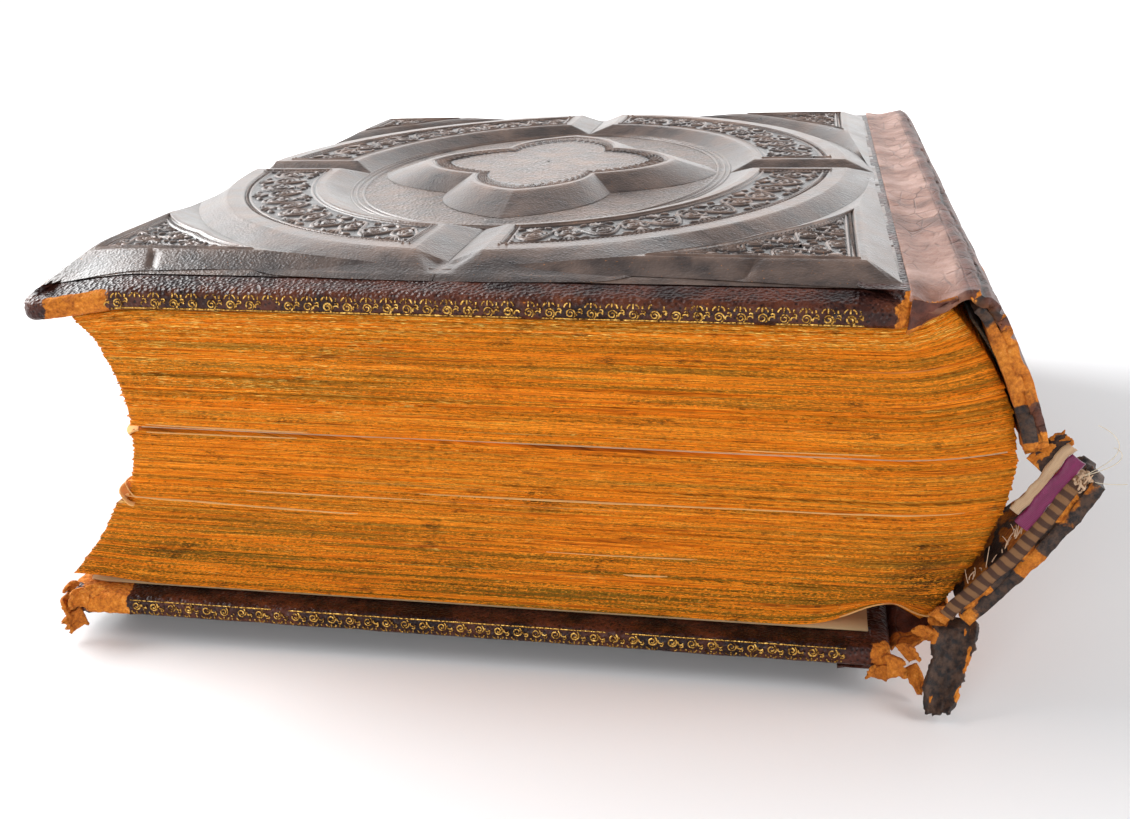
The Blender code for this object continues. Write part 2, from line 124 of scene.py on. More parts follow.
def settle(points):
    """The old book's warp: the upper board and leaves rise a little towards the far spine corner."""
    x, y, z = points[..., 0], points[..., 1], points[..., 2]
    across = np.clip((x - BOARD_LEFT) / BOARD_WIDTH, 0.0, 1.12)
    along = np.clip((y - BOARD_NEAR) / BOARD_HEIGHT, 0.0, 1.0)
    lift = (1.2 * across + 4.2 * across * along) * smooth(60.0, 97.0, z)
    droop = 4.0 * smooth(34.0, 0.0, np.hypot(x - BOARD_LEFT, y - BOARD_NEAR)) * smooth(84.0, 97.0, z)
    moved = points.copy()
    moved[..., 2] = z + lift - droop
    return moved


# meshes

def grid_faces(rows, columns, first=0, wrap=False):
    """Quads of a grid of points stored row by row; wrap joins the last column to the first."""
    index = first + np.arange(rows * columns).reshape(rows, columns)
    if wrap:
        index = np.concatenate([index, index[:, :1]], axis=1)
    return np.stack([index[:-1, :-1], index[:-1, 1:], index[1:, 1:], index[1:, :-1]], -1).reshape(-1, 4)


def mesh_piece(name, points, faces, material, body, uv=None, attributes=None, replaces=()):
    """A smooth-shaded mesh from quads; uv and attributes are given for each point."""
    points = np.asarray(points, float).reshape(-1, 3)
    faces = np.asarray(faces, int)
    mesh = bpy.data.meshes.new(name)
    mesh.vertices.add(len(points))
    mesh.vertices.foreach_set("co", (points * MM).ravel())
    mesh.loops.add(faces.size)
    mesh.loops.foreach_set("vertex_index", faces.ravel())
    mesh.polygons.add(len(faces))
    mesh.polygons.foreach_set("loop_start", np.arange(0, faces.size, faces.shape[1]))
    mesh.update(calc_edges=True)
    mesh.shade_smooth()
    if uv is not None:
        layer = mesh.uv_layers.new(name="UVMap")
        layer.data.foreach_set("uv", np.asarray(uv, float).reshape(-1, 2)[faces.ravel()].ravel())
    for key, values in (attributes or {}).items():
        made = mesh.attributes.new(key, "FLOAT", "POINT")
        made.data.foreach_set("value", np.broadcast_to(values, len(points)).astype(float).ravel())
    mesh.materials.append(material)
    piece = bpy.data.objects.new(name, mesh)
    bpy.context.scene.collection.objects.link(piece)
    if body:
        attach(piece, body)
    if replaces:
        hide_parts(*replaces)
    return piece


def ribbon(line, width, normal, lift=0.0):
    """Points and faces of a flat ribbon along a line of points, lying across a normal."""
    line = np.asarray(line, float)
    along = np.gradient(line, axis=0)
    side = np.cross(along, normal)
    side /= np.linalg.norm(side, axis=1, keepdims=True) + 1e-9
    half = np.broadcast_to(np.asarray(width) / 2, len(line))[:, None]
    raised = line + np.asarray(normal) * lift
    points = np.stack([line - side * half, raised - side * half * 0.4,
                       raised + side * half * 0.4, line + side * half], axis=1)
    return points.reshape(-1, 3), grid_faces(len(line), 4)


def joined(parts):
    """Points and faces of several parts as one."""
    points, faces, first = [], [], 0
    for part_points, part_faces in parts:
        points.append(part_points)
        faces.append(part_faces + first)
        first += len(part_points)
    return np.concatenate(points), np.concatenate(faces)


# materials

class Shader:
    """A material being built: each method adds a node and returns its output socket."""

    def __init__(self, name, **settings):
        self.material = bpy.data.materials.new(name)
        self.material.use_nodes = True
        self.tree = self.material.node_tree
        self.surface = self.tree.nodes["Principled BSDF"]
        for key, value in settings.items():
            self.surface.inputs[key.replace("_", " ").title().replace("Ior", "IOR")].default_value = value

    def put(self, socket, value):
        if isinstance(value, bpy.types.NodeSocket):
            self.tree.links.new(value, socket)
        elif socket.type == "RGBA":
            colour = value if isinstance(value, tuple) else (value,) * 3
            socket.default_value = (*colour, 1.0)
        else:
            socket.default_value = value

    def node(self, kind, inputs=(), **properties):
        made = self.tree.nodes.new("ShaderNode" + kind)
        for key, value in properties.items():
            setattr(made, key, value)
        for key, value in dict(inputs).items():
            self.put(made.inputs[key], value)
        return made

    def place(self, source="Object", scale=(1.0, 1.0, 1.0), turn=(0.0, 0.0, 0.0)):
        """Coordinates, scaled; object coordinates are in metres."""
        where = self.node("TexCoord").outputs[source]
        return self.node("Mapping", {"Vector": where, "Scale": scale, "Rotation": turn}).outputs["Vector"]

    def noise(self, where, scale=1.0, detail=3.0, roughness=0.55, distortion=0.0):
        inputs = {"Vector": where, "Scale": scale, "Detail": detail, "Roughness": roughness,
                  "Distortion": distortion}
        return self.node("TexNoise", inputs).outputs["Fac"]

    def cells(self, where, scale=1.0, feature="F1", output="Distance"):
        return self.node("TexVoronoi", {"Vector": where, "Scale": scale}, feature=feature).outputs[output]

    def bands(self, where, scale, direction, distortion=0.0):
        inputs = {"Vector": where, "Scale": scale, "Distortion": distortion}
        return self.node("TexWave", inputs, bands_direction=direction).outputs["Fac"]

    def attribute(self, name):
        return self.node("Attribute", attribute_name=name).outputs["Fac"]

    def ramp(self, factor, stops):
        """A colour ramp; stops are (position, colour)."""
        made = self.node("ValToRGB", {"Fac": factor})
        ramp = made.color_ramp
        while len(ramp.elements) < len(stops):
            ramp.elements.new(1.0)
        for element, (position, colour) in zip(ramp.elements, stops):
            element.position = position
            element.color = (*colour, 1.0)
        return made.outputs["Color"]

    def step(self, factor, low, high):
        """0 below low, 1 above high."""
        inputs = {"Value": factor, "From Min": low, "From Max": high}
        return self.node("MapRange", inputs, clamp=True, interpolation_type="SMOOTHSTEP").outputs["Result"]

    def sums(self, operation, first, second):
        made = self.node("Math", operation=operation)
        self.put(made.inputs[0], first)
        self.put(made.inputs[1], second)
        return made.outputs["Value"]

    def mix(self, factor, first, second):
        made = self.node("Mix", data_type="RGBA")
        self.put(made.inputs[0], factor)
        self.put(made.inputs[6], first)
        self.put(made.inputs[7], second)
        return made.outputs[2]

    def bump(self, height, distance, strength=1.0, normal=None):
        inputs = {"Height": height, "Distance": distance, "Strength": strength}
        if normal is not None:
            inputs["Normal"] = normal
        return self.node("Bump", inputs).outputs["Normal"]

    def torn(self, where, scale, low, high):
        """Where leather is torn: the mesh's torn attribute with a ragged limit."""
        amount = self.sums("ADD", self.attribute("torn"), self.noise(where, scale, 4.0, 0.65))
        return self.step(amount, low, high)

    def done(self, colour=None, roughness=None, normal=None, metallic=None):
        for key, value in (("Base Color", colour), ("Roughness", roughness), ("Normal", normal),
                           ("Metallic", metallic)):
            if value is not None:
                self.put(self.surface.inputs[key], value)
        return self.material


DARK_LEATHER = (0.016, 0.013, 0.014)
WORN_LEATHER = (0.325, 0.208, 0.155)
RED_LEATHER = (0.085, 0.024, 0.014)
SUEDE = (0.66, 0.22, 0.025)
SUEDE_DARK = (0.20, 0.05, 0.008)
BLACK_LEATHER = (0.016, 0.013, 0.014)


def suede_colour(made, where):
    """Red-rotted suede: orange with darker fibres."""
    fibres = made.noise(where, 900.0, 4.0, 0.7)
    patches = made.noise(where, 120.0, 3.0, 0.6)
    blend = made.sums("ADD", made.sums("MULTIPLY", fibres, 0.6), made.sums("MULTIPLY", patches, 0.5))
    return made.ramp(blend, [(0.38, SUEDE_DARK), (0.50, (0.46, 0.135, 0.016)), (0.62, SUEDE),
                             (0.78, (0.86, 0.42, 0.11))])


def board_leather_material():
    """Dark glossy moulded leather: worn paler on what stands proud, with fine grain."""
    made = Shader("board_leather", specular_ior_level=0.5)
    where = made.place()
    worn = made.attribute("worn")
    patches = made.noise(where, 110.0, 4.0, 0.6)
    worn = made.sums("MULTIPLY", worn, made.step(patches, 0.15, 0.75))
    specks = made.step(made.noise(where, 1500.0, 2.0), 0.70, 0.76)
    base = made.mix(patches, DARK_LEATHER, (0.034, 0.027, 0.026))
    base = made.mix(worn, base, WORN_LEATHER)
    base = made.mix(made.sums("MULTIPLY", specks, 0.55), base, SUEDE)
    torn = made.torn(where, 260.0, 0.98, 1.08)
    colour = made.mix(torn, base, suede_colour(made, where))
    grain = made.cells(where, 1250.0)
    crease = made.noise(where, 420.0, 5.0, 0.65)
    height = made.sums("ADD", made.sums("MULTIPLY", grain, 0.6), crease)
    stipple = made.sums("MULTIPLY", made.attribute("stipple"), made.cells(where, 900.0))
    normal = made.bump(height, 0.00018, 0.8)
    normal = made.bump(stipple, 0.0006, 1.0, normal)
    gloss = made.sums("ADD", made.sums("MULTIPLY", patches, 0.25), 0.20)
    roughness = made.mix(torn, gloss, 0.9)
    return made.done(colour, roughness, normal)


def border_leather_material():
    """The red-brown pebbled leather of the border and the edges, rubbed orange in places; its lighter band
    along the rim's ridge is partly a painted highlight.
    """
    made = Shader("border_leather", specular_ior_level=0.22)
    where = made.place()
    pebbles = made.cells(where, 900.0)
    patches = made.noise(where, 70.0, 4.0, 0.6)
    base = made.mix(made.step(patches, 0.35, 0.65), (0.012, 0.004, 0.004), RED_LEATHER)
    base = made.mix(made.step(pebbles, 0.5, 0.1), base, (0.009, 0.003, 0.003))
    # a high worn value turns the colour lighter: real rubbing, and along the rim's ridge a painted highlight
    rubbed = made.sums("ADD", made.attribute("worn"), made.noise(where, 300.0, 5.0, 0.7))
    base = made.mix(made.sums("MULTIPLY", made.step(rubbed, 0.84, 1.08), 0.5), base, (0.15, 0.040, 0.013))
    scuffs = made.step(rubbed, 1.09, 1.16)
    torn = made.torn(where, 210.0, 1.04, 1.12)
    bare = made.sums("MAXIMUM", scuffs, torn)
    colour = made.mix(bare, base, suede_colour(made, where))
    normal = made.bump(pebbles, 0.00045, 0.9)
    normal = made.bump(made.noise(where, 800.0, 4.0, 0.7), 0.0002, 0.5, normal)
    roughness = made.mix(bare, 0.33, 0.92)
    return made.done(colour, roughness, normal)


def gold_material():
    """Gold tooling, a little rubbed."""
    made = Shader("gold_tooling", metallic=0.9)
    where = made.place()
    rub = made.noise(where, 1300.0, 3.0, 0.6)
    colour = made.ramp(rub, [(0.38, (0.05, 0.018, 0.006)), (0.52, (0.46, 0.24, 0.045)),
                             (0.72, (0.95, 0.62, 0.18))])
    return made.done(colour, made.ramp(rub, [(0.3, (0.6,) * 3), (0.8, (0.28,) * 3)]))


def gilt_leaves_material():
    """The edges of many leaves: worn gilt in streaks along the leaves, over tanned paper."""
    made = Shader("gilt_leaf_edges", specular_ior_level=0.12)
    fine = made.noise(made.place("UV", (30.0, 430.0, 1.0)), 1.0, 2.0, 0.6)
    lines = made.noise(made.place("UV", (4.0, 210.0, 1.0)), 1.0, 3.0, 0.7)
    bands = made.noise(made.place("UV", (2.5, 60.0, 1.0)), 1.0, 3.0, 0.6)
    speckle = made.noise(made.place("UV", (260.0, 300.0, 1.0)), 1.0, 3.0, 0.6)
    blots = made.noise(made.place("UV", (14.0, 26.0, 1.0)), 1.0, 4.0, 0.65)
    tone = made.sums("ADD", made.sums("MULTIPLY", fine, 0.30), made.sums("MULTIPLY", lines, 0.45))
    tone = made.sums("ADD", tone, made.sums("MULTIPLY", bands, 0.25))
    base = made.ramp(tone, [(0.36, (0.16, 0.036, 0.003)), (0.44, (0.60, 0.150, 0.006)),
                            (0.52, (0.96, 0.285, 0.012)), (0.64, (1.0, 0.50, 0.07))])
    olive = made.sums("ADD", made.sums("MULTIPLY", bands, 0.45), made.sums("MULTIPLY", speckle, 0.35))
    olive = made.step(made.sums("ADD", olive, made.sums("MULTIPLY", lines, 0.2)), 0.475, 0.545)
    olive = made.sums("MULTIPLY", olive, made.attribute("olive"))
    base = made.mix(made.sums("MULTIPLY", olive, 0.72), base, (0.18, 0.10, 0.008))
    grime = made.noise(made.place("UV", (110.0, 380.0, 2.0)), 1.0, 3.0, 0.75)
    grime = made.step(made.sums("ADD", grime, made.sums("MULTIPLY", bands, 0.35)), 0.68, 0.80)
    base = made.mix(made.sums("MULTIPLY", grime, 0.70), base, (0.11, 0.045, 0.005))
    glint = made.step(made.noise(made.place("UV", (60.0, 360.0, 1.0)), 1.0, 2.0, 0.7), 0.57, 0.64)
    kept = made.step(made.sums("ADD", blots, made.attribute("bright")), 0.56, 0.76)
    glint = made.sums("MULTIPLY", glint, kept)
    base = made.mix(glint, base, (1.0, 0.68, 0.16))
    pale = made.step(made.noise(made.place("UV", (1.3, 330.0, 3.0)), 1.0, 2.0, 0.5), 0.71, 0.735)
    base = made.mix(made.sums("MULTIPLY", pale, 0.6), base, (0.92, 0.55, 0.20))
    soot = made.step(made.sums("ADD", blots, speckle), 0.85, 1.1)
    soot = made.sums("MULTIPLY", made.attribute("soot"), soot)
    base = made.mix(soot, base, (0.035, 0.014, 0.004))
    height = made.sums("ADD", lines, made.sums("MULTIPLY", fine, 0.7))
    normal = made.bump(made.sums("ADD", height, made.sums("MULTIPLY", speckle, 0.5)), 0.0003, 0.8)
    shine = made.sums("MULTIPLY", made.sums("MAXIMUM", glint, made.sums("MULTIPLY", olive, 0.3)), 0.7)
    return made.done(base, made.mix(glint, 0.6, 0.28), normal, shine)


def paper_material(name, dark, light, scale=40.0):
    """Old paper with foxing."""
    made = Shader(name)
    where = made.place()
    tone = made.noise(where, scale, 5.0, 0.6)
    fox = made.step(made.noise(where, 300.0, 3.0), 0.66, 0.74)
    colour = made.mix(made.sums("MULTIPLY", fox, 0.5), made.mix(tone, dark, light), (0.34, 0.18, 0.07))
    return made.done(colour, 0.9, made.bump(made.noise(where, 1600.0, 3.0), 0.0001, 0.4))


def millboard_material():
    """Fibrous brown board."""
    made = Shader("millboard")
    where = made.place()
    layers = made.noise(made.place("Object", (60.0, 60.0, 2400.0)), 1.0, 3.0, 0.7)
    colour = made.ramp(layers, [(0.3, (0.16, 0.075, 0.025)), (0.55, (0.40, 0.22, 0.09)),
                                (0.75, (0.58, 0.38, 0.18))])
    height = made.sums("ADD", layers, made.noise(where, 900.0, 4.0))
    return made.done(colour, 0.95, made.bump(height, 0.0003, 0.7))


# relief ornament, made as heights on tiles and in bands

TILE_STEP = 0.1
SCROLL_PITCH = 24.0
SCROLL_WIDTH = 20.0


def stamp(tile, x, y, radius, height):
    """Raise a round-topped dot on a tile that repeats along its length."""
    reach = int(radius / TILE_STEP) + 2
    row, column = int(round(y / TILE_STEP)), int(round(x / TILE_STEP))
    rows = np.arange(max(0, row - reach), min(tile.shape[0], row + reach + 1))
    columns = np.arange(column - reach, column + reach + 1)
    if not len(rows):
        return
    away = np.hypot(rows[:, None] * TILE_STEP - y, columns[None, :] * TILE_STEP - x) / radius
    dome = height * np.sqrt(np.clip(1 - away ** 2, 0.0, 1.0))
    columns = columns % tile.shape[1]
    tile[rows[:, None], columns[None, :]] = np.maximum(tile[rows[:, None], columns[None, :]], dome)


def stroke(tile, line, radii, height):
    """Stamp dots closely along a line, with a radius at each of its points."""
    line = np.asarray(line, float)
    length = np.concatenate([[0], np.cumsum(np.hypot(*np.diff(line, axis=0).T))])
    places = np.arange(0.0, length[-1] + 0.1, 0.18)
    for x, y, radius in zip(np.interp(places, length, line[:, 0]), np.interp(places, length, line[:, 1]),
                            np.interp(places, length, np.broadcast_to(radii, len(line)))):
        stamp(tile, x, y, radius, height * min(1.0, radius / 0.55))


def leaf(tile, x, y, heading, size, bend):
    """A curved leaf: a tapering stroke with side lobes."""
    steps = np.linspace(0.0, 1.0, 7)
    turn = heading + bend * steps
    line = np.stack([x + np.cumsum(np.cos(turn)) * size / 7, y + np.cumsum(np.sin(turn)) * size / 7], 1)
    stroke(tile, line, 0.15 + 0.75 * np.sin(np.pi * (0.15 + 0.8 * steps)) * size / 4.2, 0.62)
    for at, side in ((2, 1.0), (3, -1.0), (4, 1.0)):
        tip = line[at] + 0.34 * size * np.array([math.cos(turn[at] + side), math.sin(turn[at] + side)])
        stroke(tile, [line[at], tip], [0.55 * size / 4.2, 0.22], 0.5)


def scroll_tile():
    """One repeat of a running leaf scroll: a waving stem with a spiral and leaves in every bend."""
    tile = np.zeros((int(SCROLL_WIDTH / TILE_STEP) + 1, int(SCROLL_PITCH / TILE_STEP)))
    middle = SCROLL_WIDTH / 2
    x = np.linspace(0.0, SCROLL_PITCH, 60)
    wave = middle + 7.0 * np.sin(2 * np.pi * x / SCROLL_PITCH)
    stroke(tile, np.stack([x, wave], 1), 0.62, 0.6)
    for side, centre_x in ((1, SCROLL_PITCH / 4), (-1, SCROLL_PITCH * 3 / 4)):
        centre_y = middle + side * 0.8
        angle = np.linspace(0.0, 3.3 * np.pi, 60)
        radius = 5.2 * (1 - angle / angle[-1] * 0.78)
        spiral_x = centre_x + radius * np.cos(angle + 0.4)
        spiral_y = centre_y - side * radius * np.sin(angle + 0.4)
        stroke(tile, np.stack([spiral_x, spiral_y], 1), np.linspace(0.5, 0.62, 60), 0.6)
        stamp(tile, centre_x, centre_y, 1.1, 0.75)
        for petal in range(5):
            spin = petal * 2 * np.pi / 5
            stamp(tile, centre_x + 1.75 * math.cos(spin), centre_y + 1.75 * math.sin(spin), 0.62, 0.6)
        for at in (6, 16, 26, 36):
            heading = angle[at] * -side + (0.9 if at % 4 else 2.0)
            leaf(tile, spiral_x[at], spiral_y[at], heading, 3.4, 0.9 * side)
        foot_y = middle - side * 6.6
        for fan in (-1.0, -0.45, 0.0, 0.45, 1.0):
            heading = -side * math.pi / 2 + fan
            reach = 3.4 - abs(fan)
            tip = (centre_x + reach * 1.5 * math.cos(heading), foot_y + reach * 0.9 * math.sin(heading))
            stroke(tile, [(centre_x, foot_y + side * 1.6), tip], [0.75, 0.42], 0.6)
        leaf(tile, centre_x + 5.5, middle + side * 6.5, side * 1.1, 3.6, -1.2 * side)
        leaf(tile, centre_x - 5.5, middle + side * 6.5, math.pi - side * 1.1, 3.6, 1.2 * side)
    return tile


SCROLL = scroll_tile()


def sample_tile(tile, along, across):
    """Heights read from a tile that repeats along its length and is zero outside its width."""
    row = np.clip(across / TILE_STEP, 0, tile.shape[0] - 1.001)
    column = along / TILE_STEP % tile.shape[1]
    low_row, low_column = np.floor(row).astype(int), np.floor(column).astype(int)
    part_row, part_column = row - low_row, column - low_column
    next_column = (low_column + 1) % tile.shape[1]
    near = tile[low_row, low_column] * (1 - part_column) + tile[low_row, next_column] * part_column
    far = tile[low_row + 1, low_column] * (1 - part_column) + tile[low_row + 1, next_column] * part_column
    return np.where((across > 0) & (across < SCROLL_WIDTH), near * (1 - part_row) + far * part_row, 0.0)


def ridge(distance, place, width, height):
    """A rounded line that runs at one distance from an edge."""
    return height * np.sqrt(np.clip(1 - ((distance - place) / width) ** 2, 0.0, 1.0))


def beads(distance, along, place, pitch, radius, height):
    """A row of round beads at one distance from an edge."""
    offset = (along / pitch + 0.5) % 1.0 * pitch - pitch / 2
    return height * np.sqrt(np.clip(1 - ((distance - place) ** 2 + offset ** 2) / radius ** 2, 0.0, 1.0))


# boards

FIELD_LEVEL = 9.0
PANEL_LEVEL = 12.4
CENTRE_LEVELS = {"upper": 13.9, "lower": 12.4}
RING_CENTRE = (-4.0, 4.4)
RING_INNER = (76.0, 111.4)
RING_OUTER = (108.5, 146.0)
INNER_RUN = 8.5
OUTER_RUN = 9.5
CHANNEL_HALF = 9.4
VALLEY_HALF = 0.15            # half the gap between two panels at the foot of their bevels
SKIRT_ROWS = 10               # rows of points down a panel's outer bevel
BEVEL_FOOT = 8.0              # how far from the tail and head edges the bevels end
GROUND = 0.62                 # how deep the ground of the ornament lies below a panel's face
FINE = {"upper": 0.36, "lower": 1.1}


def board_place(side, x, y, level):
    """Points of a board from plan coordinates and a level above its inner face."""
    x, y, level = np.broadcast_arrays(np.asarray(x, float), np.asarray(y, float), np.asarray(level, float))
    if side == "upper":
        return settle(np.stack([x, y, UPPER_INNER + level], -1))
    return np.stack([x, y, LOWER_INNER - level], -1)


def border_level(x, y):
    """The border's level: it slopes to the tail and head edges, and more steeply to the fore-edge."""
    inset = np.minimum(BOARD_HEIGHT / 2 - np.abs(y), (x - BOARD_LEFT) / FORE_SQUEEZE)
    profile = np.array(RIM_PROFILE[:RIM_TURN])[::-1]
    return np.interp(inset, profile[:, 0], profile[:, 1])


def meet_rim(x, y, level):
    """A panel's outer bevel, its last rows, brought inside the board's outline and down onto its border."""
    share = (np.arange(1, SKIRT_ROWS + 1) / SKIRT_ROWS)[:, None]
    top_x, top_y = x[-SKIRT_ROWS - 1], y[-SKIRT_ROWS - 1]
    foot_x = np.clip(x[-1], BOARD_LEFT + 0.8, BOARD_RIGHT - 0.8)
    foot_y = np.clip(y[-1], BOARD_NEAR + BEVEL_FOOT, BOARD_FAR - BEVEL_FOOT)
    x[-SKIRT_ROWS:] = top_x + (foot_x - top_x) * share
    y[-SKIRT_ROWS:] = top_y + (foot_y - top_y) * share
    base = np.minimum(FIELD_LEVEL, border_level(foot_x, foot_y) + 0.12)
    fall = (PANEL_LEVEL - level[-SKIRT_ROWS:]) * (PANEL_LEVEL - base) / (PANEL_LEVEL - FIELD_LEVEL)
    floor = border_level(x[-SKIRT_ROWS:], y[-SKIRT_ROWS:]) + 0.1
    level[-SKIRT_ROWS:] = np.maximum(PANEL_LEVEL - fall, np.minimum(floor, FIELD_LEVEL - 0.1))
    return x, y, level


def facing(side, faces):
    """Faces turned to look out of the board."""
    return faces if side == "upper" else faces[:, ::-1]


def wear_of(relief, x, y, seed):
    """How rubbed a panel's leather is: what stands proud is rubbed most."""
    return np.clip(0.25 + relief * 1.1 + 0.5 * (rough_noise(x / 14, y / 14, seed) - 0.5), 0.0, 1.0)


def ring_panel(side, quarter, material):
    """One quarter of the ring, with bevelled sides and ends and framed scrollwork on its face."""
    step = FINE[side]
    on_inner = RING_INNER if quarter % 2 else RING_INNER[::-1]
    on_outer = RING_OUTER if quarter % 2 else RING_OUTER[::-1]
    start = quarter * math.pi / 2

    def ends(axes, gap):
        return start + np.arcsin(gap / axes[0]), start + math.pi / 2 - np.arcsin(gap / axes[1])

    length = math.pi / 2 * sum(RING_INNER + RING_OUTER) / 4 - 2 * CHANNEL_HALF
    face = np.linspace(0.0, 1.0, int(length / step))
    gaps = np.linspace(VALLEY_HALF, CHANNEL_HALF, 9)[:-1]
    share = np.concatenate([np.zeros(len(gaps)), face, np.ones(len(gaps))])
    gap = np.concatenate([gaps, np.full(len(face), CHANNEL_HALF), gaps[::-1]])
    outside = CHANNEL_HALF - gap
    width = (RING_OUTER[0] + RING_OUTER[1] - RING_INNER[0] - RING_INNER[1]) / 2
    across = np.linspace(0.0, width, int(width / step))
    inner_rows = -np.linspace(INNER_RUN, 0.0, 9)[:-1]
    outer_rows = width + np.linspace(0.0, OUTER_RUN, SKIRT_ROWS + 1)[1:]
    distance = np.concatenate([inner_rows, across, outer_rows])[:, None]
    fraction = np.clip(distance / width, 0.0, 1.0)
    spots = []
    for axes, on_axis, spread in ((RING_INNER, on_inner, np.minimum(distance, 0.0)),
                                  (RING_OUTER, on_outer, np.maximum(distance - width, 0.0))):
        first, last = ends(on_axis, gap)
        angle = first + (last - first) * share
        free = BOARD_HEIGHT / 2 - BEVEL_FOOT - np.abs(RING_CENTRE[1] + axes[1] * np.sin(angle))
        wider = 1 + (free / OUTER_RUN - 1) * smooth(66.0, 34.0, axes[0] * np.abs(np.cos(angle)))
        spread = np.where(spread > 0, spread * wider, spread)
        spots.append((RING_CENTRE[0] + (axes[0] + spread) * np.cos(angle),
                      RING_CENTRE[1] + (axes[1] + spread) * np.sin(angle)))
    x = spots[0][0] * (1 - fraction) + spots[1][0] * fraction
    y = spots[0][1] * (1 - fraction) + spots[1][1] * fraction
    depth = PANEL_LEVEL - FIELD_LEVEL
    drop = bevel_drop(-distance, INNER_RUN, depth)
    drop = np.maximum(drop, bevel_drop(distance - width, OUTER_RUN, depth))
    drop = np.maximum(drop, bevel_drop(outside, CHANNEL_HALF - VALLEY_HALF, depth)[None, :])
    along = share * length
    from_end = np.minimum(along, length - along) + 0 * distance
    distance = distance + 0 * from_end
    inside = smooth(2.6, 3.2, distance) * smooth(width - 5.0, width - 5.6, distance)
    inside = inside * smooth(3.0, 3.6, from_end)
    repeats = round((length - 12) / SCROLL_PITCH)
    scroll = sample_tile(SCROLL, (along - 6) * repeats * SCROLL_PITCH / (length - 12) + 0 * distance,
                         (distance - 5.4) * SCROLL_WIDTH / (width - 14.0))
    scroll = scroll * smooth(5.6, 6.4, from_end)
    frame_lines = np.zeros_like(distance)
    within = (from_end > 2.6) * (distance > 1.8) * (distance < width - 4.0)
    for place in (2.9, 4.4):
        frame_lines = np.maximum(frame_lines, ridge(distance, place, 0.4, 0.62) * within)
    for place in (width - 5.5, width - 8.0):
        frame_lines = np.maximum(frame_lines, ridge(distance, place, 0.4, 0.62) * within)
    for place in (3.3, 5.6):
        frame_lines = np.maximum(frame_lines, ridge(from_end, place, 0.4, 0.62) * within)
    dots = beads(distance, along + 0 * distance, width - 6.75, 1.5, 0.6, 0.62) * (from_end > 4.4)
    dots = np.maximum(dots, beads(from_end, distance, 4.5, 1.5, 0.6, 0.62) * within)
    relief = np.maximum(np.maximum(scroll, frame_lines), dots * inside)
    level = PANEL_LEVEL - drop - inside * GROUND + relief * (inside > 0)
    level = level + 0.25 * (rough_noise(x / 22, y / 22, 31 + quarter) - 0.5)
    x, y, level = meet_rim(x, y, level)
    points = board_place(side, x, y, level)
    proud = np.where(inside > 0.2, relief - 0.25, 0.30 * smooth(1.2, -0.6, drop))
    looks = {"worn": wear_of(proud, x, y, 5).ravel(), "stipple": 0.0, "torn": 0.0}
    mesh_piece(f"{side}_ring_relief_{quarter + 1}", points, facing(side, grid_faces(*x.shape)), material,
               side_body(side), attributes=looks, replaces=[f"{side}_ring_panel_{quarter + 1}"])


def side_body(side):
    return {"upper": "upper_board", "lower": "lower_book"}[side]


def resampled(line, count):
    """A polyline with evenly spaced points; the line's own corners may fall between them."""
    length = np.concatenate([[0], np.cumsum(np.hypot(*np.diff(line, axis=0).T))])
    places = np.linspace(0.0, length[-1], count)
    return np.stack([np.interp(places, length, line[:, k]) for k in (0, 1)], 1)


CORNER_INSET = (11.0, 20.8)
CORNER_GAP = 18.0
CORNER_RUN = 9.0


def corner_sides(side_x, side_y, spread):
    """A corner panel's outline as three sides: along x, along the ring with a small cusp, and along y."""
    corner = np.array([side_x * (BOARD_WIDTH / 2 - CORNER_INSET[0] + spread * 0.9),
                       side_y * (BOARD_HEIGHT / 2 - CORNER_INSET[1] + spread * 1.42)])
    axes = np.array(RING_OUTER) + CORNER_GAP - spread
    reach = (corner - RING_CENTRE) / axes
    first = math.atan2(side_y * math.sqrt(max(0.0, 1 - reach[0] ** 2)), reach[0])
    last = math.atan2(reach[1], side_x * math.sqrt(max(0.0, 1 - reach[1] ** 2)))
    share = np.linspace(0.0, 1.0, 80)
    angle = first + (last - first) * share
    cusp = -2.6 * (1 - np.abs(2 * share - 1)) ** 2.2 * (1 - spread / 14)
    curve = np.stack([RING_CENTRE[0] + (axes[0] + cusp) * np.cos(angle),
                      RING_CENTRE[1] + (axes[1] + cusp) * np.sin(angle)], 1)
    return corner, curve


